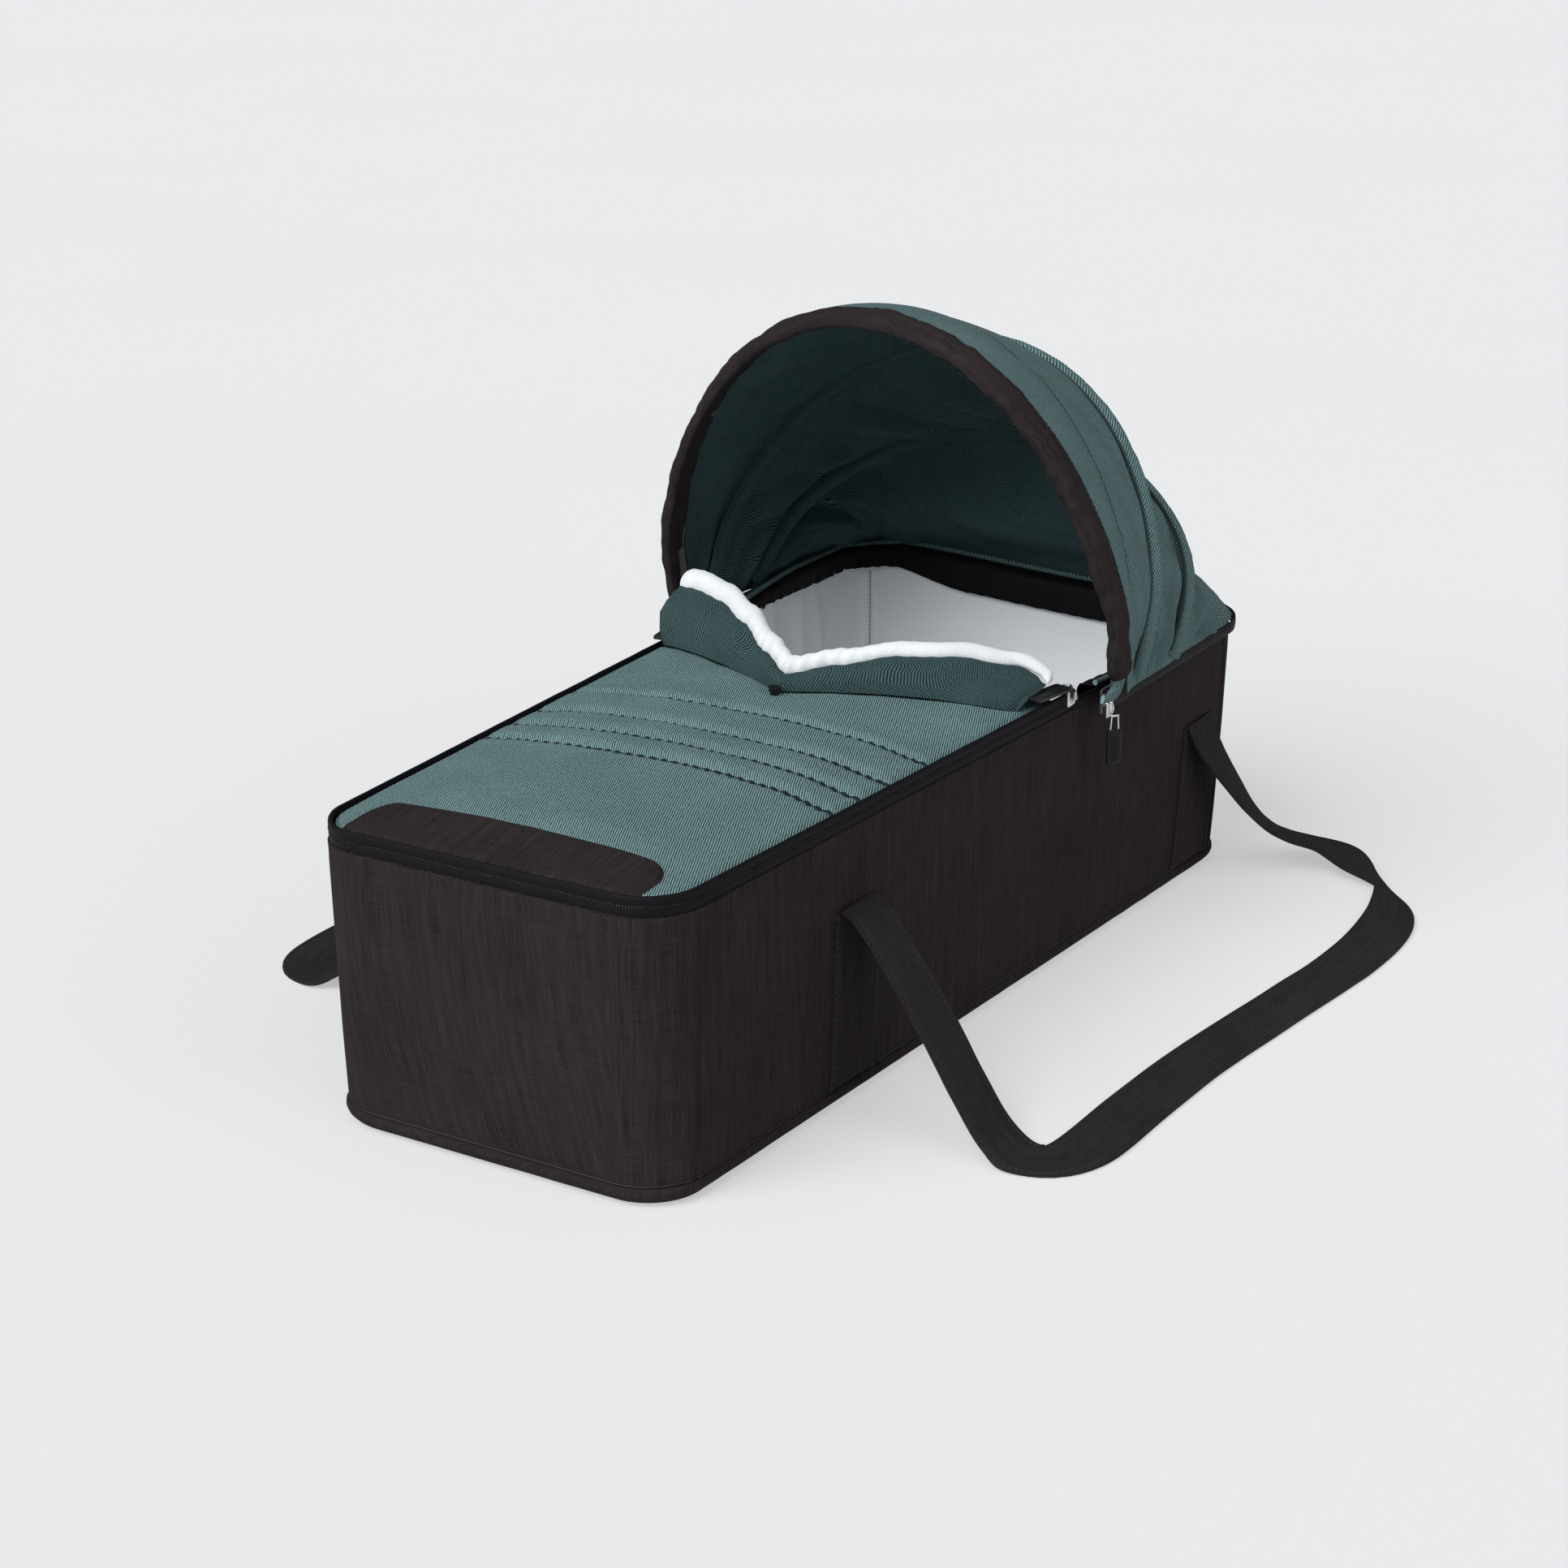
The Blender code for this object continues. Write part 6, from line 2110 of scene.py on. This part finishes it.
@dataclass
class Handle:
    """A strap loop that leaves its two slits and lies out on the floor."""

    wardrobe: Wardrobe
    side: Side
    width: float = PLAN.strap_width
    thickness: float = 2.4 * MM
    clearance: float = 2.4 * MM
    reach: float = 172 * MM
    seam_share: float = 0.84
    route: tuple[tuple[float, float, float, tuple[float, float, float]], ...] = (
        (0.000, 0.000, 1.000, (1.0, 0.0, 0.0)),
        (-0.006, 0.078, 0.957, (1.0, 0.0, 0.0)),
        (-0.012, 0.200, 0.794, (1.0, 0.0, 0.0)),
        (-0.021, 0.381, 0.518, (1.0, 0.0, 0.0)),
        (-0.027, 0.521, 0.277, (1.0, 0.0, 0.0)),
        (-0.036, 0.666, 0.075, (1.0, 0.0, 0.0)),
        (-0.046, 0.806, 0.014, (1.0, 0.0, 0.0)),
        (0.002, 0.939, 0.014, (0.0, 1.0, 0.0)),
        (0.166, 0.936, 0.014, (0.0, 1.0, 0.0)),
        (0.332, 0.933, 0.014, (0.0, 1.0, 0.0)),
        (0.506, 0.960, 0.014, (0.0, 1.0, 0.0)),
        (0.664, 0.990, 0.014, (0.0, 1.0, 0.0)),
        (0.788, 1.010, 0.014, (0.0, 1.0, 0.0)),
        (0.913, 0.995, 0.014, (0.05, 1.0, 0.0)),
        (1.017, 0.940, 0.020, (0.30, 0.95, 0.0)),
        (1.095, 0.840, 0.030, (0.60, 0.80, 0.05)),
        (1.148, 0.700, 0.050, (0.88, 0.46, 0.10)),
        (1.176, 0.530, 0.080, (0.97, 0.20, 0.08)),
        (1.172, 0.375, 0.130, (0.88, 0.45, -0.08)),
        (1.128, 0.262, 0.220, (0.87, 0.46, -0.10)),
        (1.085, 0.190, 0.370, (0.92, 0.38, -0.08)),
        (1.040, 0.120, 0.610, (0.97, 0.22, -0.03)),
        (1.010, 0.050, 0.830, (1.0, 0.08, 0.0)),
        (1.000, 0.000, 1.000, (1.0, 0.0, 0.0)),
    )
    steps: int = 9

    def slit_root(self, place: tuple[float, float]) -> Vector:
        """Where the strap's end meets a slit."""
        x, height = place
        half = PLAN.half_width(x, PLAN.level(height))
        return Vector((x, self.side.value * (half + self.clearance), height))

    def centre_line(self) -> tuple[Path, Path]:
        """The strap's centre line with the direction of its width at each point."""
        foot, head = self.slit_root(PLAN.foot_slit), self.slit_root(PLAN.head_slit)
        centres, widths = [], []
        for along, out, up, wide in self.route:
            base = foot.lerp(head, along)
            height = mix(PLAN.foot_slit[1], PLAN.head_slit[1], min(max(along, 0.0), 1.0))
            direction = Vector((wide[0], wide[1] * -self.side.value, wide[2])).normalized()
            lift = self.thickness / 2 + abs(direction.z) * self.width / 2 + 0.3 * MM
            y = base.y + self.side.value * out * self.reach
            centres.append(Vector((base.x, y, max(height * up, lift))))
            widths.append(direction)
        return curved(centres, self.steps), [wide.normalized() for wide in curved(widths, self.steps)]

    def frames(self) -> list[tuple[Vector, Vector, Vector]]:
        """For each place along the strap its centre, width direction and normal."""
        centres, widths = self.centre_line()
        return [(centre, wide, wide.cross(heading(centres, index)).normalized())
                for index, (centre, wide) in enumerate(zip(centres, widths))]

    def lift(self, index: int, share: float) -> float:
        """How far the cloth rises from its flat middle at a place on the strap."""
        swell = 0.25 * MM * (1 - share * share)
        edge = -0.35 * MM * bell(abs(share) - self.seam_share, 0.05)
        return swell + edge + 0.35 * MM * grain(index * 0.004, share * 0.02, self.side.value, 18 * MM)

    def build(self) -> None:
        """Build the strap and its two rows of stitches."""
        frames = self.frames()
        shares = (-1.0, -0.97, -0.9, -0.84, -0.78, -0.6, -0.3, 0.0, 0.3, 0.6, 0.78, 0.84, 0.9, 0.97, 1.0)
        rows = []
        for index, (centre, wide, normal) in enumerate(frames):
            upper, lower = [], []
            for share in shares:
                thick = self.thickness / 2 * (1 - 0.35 * smooth((abs(share) - 0.94) / 0.06))
                lift = self.lift(index, share)
                for row, face in ((upper, 1.0), (lower, -1.0)):
                    point = centre + wide * share * self.width / 2 + normal * face * (thick + lift)
                    point.z = max(point.z, 0.25 * MM)
                    row.append(point)
            rows.append(upper + lower[::-1])
        strap = loft(f"{self.side.word}_strap", rows, self.wardrobe.strap)
        length = sum((far[0] - near[0]).length for near, far in zip(frames, frames[1:]))
        word = self.side.word
        add_to(strap, f"{word}_handle_body", "cover_fabric", f"{word}_handle")
        seams = []
        for share in (-self.seam_share, self.seam_share):
            for face in (1.0, -1.0):
                seam = []
                for index, (centre, wide, normal) in enumerate(frames):
                    lift = self.thickness / 2 + self.lift(index, share) + 0.05 * MM
                    point = centre + wide * share * self.width / 2 + normal * face * lift
                    point.z = max(point.z, 0.5 * MM)
                    seam.append(point)
                seams.append(seam)
        sewing = Sewing(3.0 * MM, 1.3 * MM, 0.42 * MM)
        thread = sewing.sew(f"{word}_strap_stitches", seams, self.wardrobe.dark_thread)
        add_to(thread, f"{word}_handle_body", "cover_fabric")


# Hard pieces


class Bench:
    """Shapes hard pieces with Blender's own modelling tools."""

    def clear(self) -> None:
        """Deselect everything."""
        for item in bpy.context.selected_objects:
            item.select_set(False)

    def close(self, name: str, finish: Material) -> Piece:
        """Put the active piece's place into its mesh and dress it.

        Args:
            name: The piece's name.
            finish: Its material.

        Returns:
            The piece.
        """
        piece = bpy.context.active_object
        bpy.ops.object.transform_apply(location=True, rotation=True, scale=True)
        piece.name = name
        piece.data.name = name
        piece.data.materials.clear()
        piece.data.materials.append(finish)
        bpy.ops.object.shade_smooth_by_angle(angle=radians(38))
        self.clear()
        return piece

    def cube(self, size: Vector) -> None:
        """Start a piece from a cube of three sizes."""
        self.clear()
        bpy.ops.mesh.primitive_cube_add(size=1.0, location=(0, 0, 0), scale=size)
        bpy.ops.object.transform_apply(location=False, rotation=False, scale=True)

    def place(self, centre: Vector, turn: tuple[float, float, float]) -> None:
        """Turn the active piece and move it to its place."""
        piece = bpy.context.active_object
        piece.rotation_euler = turn
        piece.location = centre

    def bevel(self, offset: float, segments: int) -> None:
        """Round every edge of the active piece."""
        bpy.ops.object.mode_set(mode="EDIT")
        bpy.ops.mesh.select_all(action="SELECT")
        bpy.ops.mesh.bevel(offset=offset, segments=segments, affect="EDGES", clamp_overlap=True)
        bpy.ops.object.mode_set(mode="OBJECT")

    def pick_edges(self, test: Callable[[Vector], bool]) -> None:
        """Select the active piece's edges whose direction passes a test, and enter edit mode."""
        piece = bpy.context.active_object
        bpy.ops.object.mode_set(mode="EDIT")
        bpy.ops.mesh.select_all(action="DESELECT")
        bpy.ops.mesh.select_mode(type="EDGE")
        bpy.ops.object.mode_set(mode="OBJECT")
        for edge in piece.data.edges:
            near, far = (piece.data.vertices[index].co for index in edge.vertices)
            edge.select = test((far - near).normalized())
        bpy.ops.object.mode_set(mode="EDIT")

    def pick_faces(self, test: Callable[[bpy.types.MeshPolygon], bool]) -> None:
        """Select the active piece's faces that pass a test, and enter edit mode."""
        bpy.ops.object.mode_set(mode="EDIT")
        bpy.ops.mesh.select_all(action="DESELECT")
        bpy.ops.mesh.select_mode(type="FACE")
        bpy.ops.object.mode_set(mode="OBJECT")
        for face in bpy.context.active_object.data.polygons:
            face.select = test(face)
        bpy.ops.object.mode_set(mode="EDIT")

    def plate(self, name: str, centre: Vector, size: Vector, turn: float, corner: float, rim: float,
              finish: Material) -> Piece:
        """A flat tab with rounded corners and a raised rim, thin along Z.

        Args:
            name: The piece's name.
            centre: Its middle.
            size: Its three sizes.
            turn: Its turn about Z.
            corner: The radius of its corners.
            rim: The width of its rim.
            finish: Its material.

        Returns:
            The piece.
        """
        self.cube(size)
        self.pick_edges(lambda run: abs(run.z) > 0.9)
        bpy.ops.mesh.bevel(offset=corner, segments=6, affect="EDGES")
        bpy.ops.object.mode_set(mode="OBJECT")
        self.bevel(size.z * 0.28, 3)
        self.pick_faces(lambda face: abs(face.normal.z) > 0.99 and face.area > size.x * size.y * 0.3)
        bpy.ops.mesh.inset(thickness=rim, depth=-size.z * 0.1)
        bpy.ops.mesh.inset(thickness=rim * 0.4, depth=size.z * 0.08)
        bpy.ops.object.mode_set(mode="OBJECT")
        self.place(centre, (0, 0, turn))
        return self.close(name, finish)

    def block(self, name: str, centre: Vector, size: Vector, turn: float, bevel: float,
              finish: Material) -> Piece:
        """A small rounded block.

        Args:
            name: The piece's name.
            centre: Its middle.
            size: Its three sizes.
            turn: Its turn about Z.
            bevel: The radius of its edges.
            finish: Its material.

        Returns:
            The piece.
        """
        self.cube(size)
        self.bevel(bevel, 3)
        self.place(centre, (0, 0, turn))
        return self.close(name, finish)

    def disc(self, name: str, centre: Vector, radius: float, height: float,
             finish: Material) -> Piece:
        """A domed button.

        Args:
            name: The piece's name.
            centre: Its middle.
            radius: Its radius.
            height: Its height.
            finish: Its material.

        Returns:
            The piece.
        """
        self.clear()
        bpy.ops.mesh.primitive_cylinder_add(vertices=40, radius=radius, depth=height, location=centre)
        self.pick_faces(lambda face: face.normal.z > 0.9)
        bpy.ops.mesh.inset(thickness=radius * 0.16, depth=0.0)
        bpy.ops.mesh.inset(thickness=radius * 0.14, depth=-height * 0.16)
        bpy.ops.mesh.inset(thickness=radius * 0.3, depth=height * 0.12)
        bpy.ops.object.mode_set(mode="OBJECT")
        self.bevel(height * 0.1, 2)
        return self.close(name, finish)

    def ring(self, name: str, centre: Vector, turn: tuple[float, float, float], long: float, wide: float,
             wire: float, finish: Material) -> Piece:
        """A wire loop, oval along its own X.

        Args:
            name: The piece's name.
            centre: Its middle.
            turn: Its turns.
            long: Half of its length.
            wide: Half of its width.
            wire: The wire's radius.
            finish: Its material.

        Returns:
            The piece.
        """
        self.clear()
        bpy.ops.mesh.primitive_torus_add(major_radius=1.0, minor_radius=wire / wide, major_segments=40,
                                         minor_segments=12)
        for vertex in bpy.context.active_object.data.vertices:
            around = Vector((vertex.co.x, vertex.co.y)).length or 1.0
            stretch = (long - wide) * vertex.co.x / around
            vertex.co = Vector((vertex.co.x * wide + stretch, vertex.co.y * wide, vertex.co.z * wide))
        self.place(centre, turn)
        return self.close(name, finish)


bench = Bench()


@dataclass
class Zips:
    """The three zip sliders with their loops and pull tabs."""

    wardrobe: Wardrobe
    tab_size: tuple[float, float, float] = (39 * MM, 15 * MM, 2.4 * MM)
    tab_reach: float = 24.5 * MM
    tab_lean: float = 0.19
    loop_reach: float = 4.4 * MM
    seam_lift: float = 1.25 * MM
    tab_seam: tuple[tuple[float, float], ...] = (
        (8, -5), (8, 5), (40, 5), (42, 3), (42, -3), (40, -5), (8, -5))
    rubber_size: tuple[float, float, float] = (11.5 * MM, 2.6 * MM, 26 * MM)
    bar_size: tuple[float, float, float] = (7 * MM, 1.8 * MM, 1.8 * MM)
    rubber_turn: float = radians(-34)
    rubber_drop: float = 10 * MM
    rib_size: tuple[float, float, float] = (6.4 * MM, 1.0 * MM, 1.0 * MM)
    rib_pitch: float = 2.0 * MM
    ribs: int = 9

    def build(self) -> None:
        """Build every slider and pull."""
        for side in Side:
            self.build_apron_zip(side)
        self.build_canopy_zip()

    def build_apron_zip(self, side: Side) -> None:
        """A slider on the rim with its leather tab.

        Args:
            side: The cot's side.
        """
        word, metal = side.word, self.wardrobe.metal
        centre, size = box_of(f"{word}_apron_slider")
        body = f"{word}_slider_body"
        shell = bench.block(f"{word}_slider_shell", centre, size, 0.0, 1.1 * MM, metal)
        add_to(shell, body, "zip_metal", f"{word}_apron_slider")
        bridge = bench.ring(f"{word}_slider_bridge", centre + Vector((1 * MM, 0, size.z / 2 - 0.2 * MM)),
                            (pi / 2, 0, 0), 4.6 * MM, 2.0 * MM, 0.8 * MM, metal)
        add_to(bridge, body, "zip_metal")
        nose = bench.block(f"{word}_slider_nose", centre + Vector((6.2 * MM, 0, 0.3 * MM)),
                           Vector((3.4 * MM, size.y * 1.25, size.z * 0.55)), 0.0, 0.9 * MM, metal)
        add_to(nose, body, "zip_metal")
        body = f"{word}_pull_body"
        turn = self.tab_lean * side.value
        run = Vector((-1.0, -turn, 0.0)).normalized()
        root = Vector((centre.x, centre.y, box_of(f"{word}_apron_pull")[0].z + 1.6 * MM))
        tab = bench.plate(f"{word}_pull_tab", root + run * self.tab_reach, Vector(self.tab_size), turn,
                          2.2 * MM, 1.2 * MM, self.wardrobe.leather)
        add_to(tab, body, "pull_leather", f"{word}_apron_pull")
        loop = bench.ring(f"{word}_pull_loop", root + run * self.loop_reach, (0, 0, turn), 5.6 * MM,
                          3.0 * MM, 0.75 * MM, metal)
        add_to(loop, body, "zip_metal")
        across = Vector((-run.y, run.x, 0.0))
        seam = [root + run * along * MM + across * wide * MM + UP * self.seam_lift
                for along, wide in self.tab_seam]
        sewing = Sewing(1.6 * MM, 0.9 * MM, 0.26 * MM)
        thread = sewing.sew(f"{word}_pull_stitches", [seam], self.wardrobe.dark_thread)
        add_to(thread, body, "pull_leather")

    def build_canopy_zip(self) -> None:
        """The slider at the canopy's right corner with its ribbed rubber tab."""
        centre, size = box_of("canopy_slider")
        metal = self.wardrobe.metal
        shell = bench.block("canopy_slider_shell", centre, Vector((size.x, size.y, size.z * 0.92)), 0.0,
                            1.0 * MM, metal)
        add_to(shell, "canopy_slider_body", "zip_metal", "canopy_slider")
        ears = bench.ring("canopy_slider_bridge", centre + Vector((0, -size.y / 2 - 0.2 * MM, 1 * MM)),
                          (0, pi / 2, 0), 4.2 * MM, 1.8 * MM, 0.75 * MM, metal)
        add_to(ears, "canopy_slider_body", "zip_metal")
        middle, size = box_of("canopy_pull")
        body, turn = "canopy_pull_body", self.rubber_turn
        hang = middle + Vector((0, -1.6 * MM, size.z / 2))
        for share, name in ((-1, "canopy_pull_wire_a"), (1, "canopy_pull_wire_b")):
            path = []
            for down in spread(0.0, 1.0, 8):
                wide = share * mix(2.6, 3.4, down) * MM
                path.append(hang + Vector((wide * cos(turn), wide * sin(turn), -down * 12 * MM)))
            add_to(tube(name, path, 0.7 * MM, metal, 10, lean=Vector((0, 1, 0))), body, "zip_metal")
        bar = bench.block("canopy_pull_bar", hang, Vector(self.bar_size), turn, 0.7 * MM, metal)
        add_to(bar, body, "zip_metal")
        _, thick, length = self.rubber_size
        centre = hang - UP * (self.rubber_drop + length / 2)
        tab = bench.block("canopy_pull_tab", centre, Vector(self.rubber_size), turn, 1.2 * MM,
                          self.wardrobe.rubber)
        add_to(tab, body, "pull_rubber", "canopy_pull")
        face = centre + Vector((sin(turn), -cos(turn), 0)) * thick / 2
        for index in range(self.ribs):
            at = face + UP * (length / 2 - 7 * MM - index * self.rib_pitch)
            rib = bench.block(f"canopy_pull_rib_{index}", at, Vector(self.rib_size), turn, 0.35 * MM,
                              self.wardrobe.rubber)
            add_to(rib, body, "pull_rubber")


# The studio


@dataclass
class Studio:
    """The pale floor, the soft lamps and the camera."""

    eye: tuple[float, float, float] = (-1.7640, -1.0396, 0.8738)
    yaw: float = radians(30.908)
    pitch: float = radians(19.734)
    roll: float = radians(0.201)
    focal_pixels: float = 3734.23
    image_pixels: float = 1932.0
    sensor: float = 36.0
    floor_shade: Colour = srgb(230, 231, 233)
    world_light: float = 0.2
    seen_world: float = 0.84
    shadow_share: float = 0.42
    lamps: tuple[tuple[str, tuple[float, float, float], float, float], ...] = (
        ("key", (-0.92, 0.28, 0.88), 3.3, 46.0),
        ("fill", (-0.25, -1.0, 0.75), 0.95, 60.0),
    )

    def build(self) -> None:
        """Set up the studio."""
        bpy.context.scene.view_settings.view_transform = "Standard"
        self.build_floor()
        self.build_world()
        self.build_lamps()
        self.build_camera()

    def build_floor(self) -> None:
        """A wide pale floor that keeps the cot's shadow."""
        bench.clear()
        bpy.ops.mesh.primitive_plane_add(size=30.0, location=(0, 0, 0))
        floor = bpy.context.active_object
        floor.name = "floor"
        graph = Graph("pale_floor")
        at = graph.solid_place()
        cloud = graph.noise(at, 2.0, 1 / 900.0)
        darker, lighter = (tuple(factor * value for value in self.floor_shade) for factor in (0.985, 1.01))
        tint = graph.blend(cloud, darker, lighter)
        lit = graph.add("ShaderNodeBsdfDiffuse", None, {"Color": tint})
        plain = graph.add("ShaderNodeEmission", None, {"Color": tint, "Strength": 1.0})
        rays = graph.tree.nodes.new("ShaderNodeLightPath")
        seen = Wire(graph, rays.outputs["Is Camera Ray"]) + Wire(graph, rays.outputs["Is Glossy Ray"])
        seen = seen + Wire(graph, rays.outputs["Is Transmission Ray"])
        share = graph.add("ShaderNodeMath", {"operation": "MINIMUM"}, {0: seen, 1: 1.0})
        share = share * (1 - self.shadow_share)
        graph.add_output(graph.add("ShaderNodeMixShader", None, {0: share, 1: lit, 2: plain}))
        floor.data.materials.append(graph.material)

    def build_world(self) -> None:
        """An even pale surround."""
        world = bpy.data.worlds.new("studio")
        bpy.context.scene.world = world
        world.use_nodes = True
        back = world.node_tree.nodes["Background"]
        back.inputs["Color"].default_value = (0.97, 0.985, 1.0, 1.0)
        rays = world.node_tree.nodes.new("ShaderNodeLightPath")
        add = world.node_tree.nodes.new("ShaderNodeMath")
        add.operation = "MULTIPLY_ADD"
        add.inputs[1].default_value = self.seen_world - self.world_light
        add.inputs[2].default_value = self.world_light
        world.node_tree.links.new(rays.outputs["Is Camera Ray"], add.inputs[0])
        world.node_tree.links.new(add.outputs[0], back.inputs["Strength"])

    def build_lamps(self) -> None:
        """Large soft lamps, far away."""
        for name, place, energy, wide in self.lamps:
            lamp = bpy.data.lights.new(name, "SUN")
            lamp.energy = energy
            lamp.angle = radians(wide)
            item = bpy.data.objects.new(name, lamp)
            item.rotation_euler = Vector(place).to_track_quat("Z", "Y").to_euler()
            bpy.context.collection.objects.link(item)

    def build_camera(self) -> None:
        """The camera at the photograph's place."""
        ahead = Vector((cos(self.pitch) * cos(self.yaw), cos(self.pitch) * sin(self.yaw), -sin(self.pitch)))
        right = ahead.cross(UP).normalized()
        turned = right * cos(self.roll) + right.cross(ahead) * sin(self.roll)
        lens = bpy.data.cameras.new("camera")
        lens.sensor_fit = "HORIZONTAL"
        lens.sensor_width = self.sensor
        lens.lens = self.focal_pixels / self.image_pixels * self.sensor
        lens.clip_start = 0.05
        item = bpy.data.objects.new("camera", lens)
        frame = Matrix((turned, turned.cross(ahead), -ahead)).transposed()
        item.matrix_world = Matrix.Translation(Vector(self.eye)) @ frame.to_4x4()
        bpy.context.collection.objects.link(item)
        bpy.context.scene.camera = item


def main() -> None:
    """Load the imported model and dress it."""
    logging.basicConfig(level=logging.INFO, format="%(message)s")
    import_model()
    bench.clear()
    Studio().build()
    wardrobe = Wardrobe()
    Tub(wardrobe).build()
    Rim(wardrobe).build()
    apron = Apron(wardrobe)
    apron.build()
    WindFlap(wardrobe, apron).build()
    Canopy(wardrobe).build()
    for side in Side:
        Handle(wardrobe, side).build()
    Zips(wardrobe).build()


if __name__ == "__main__":
    main()
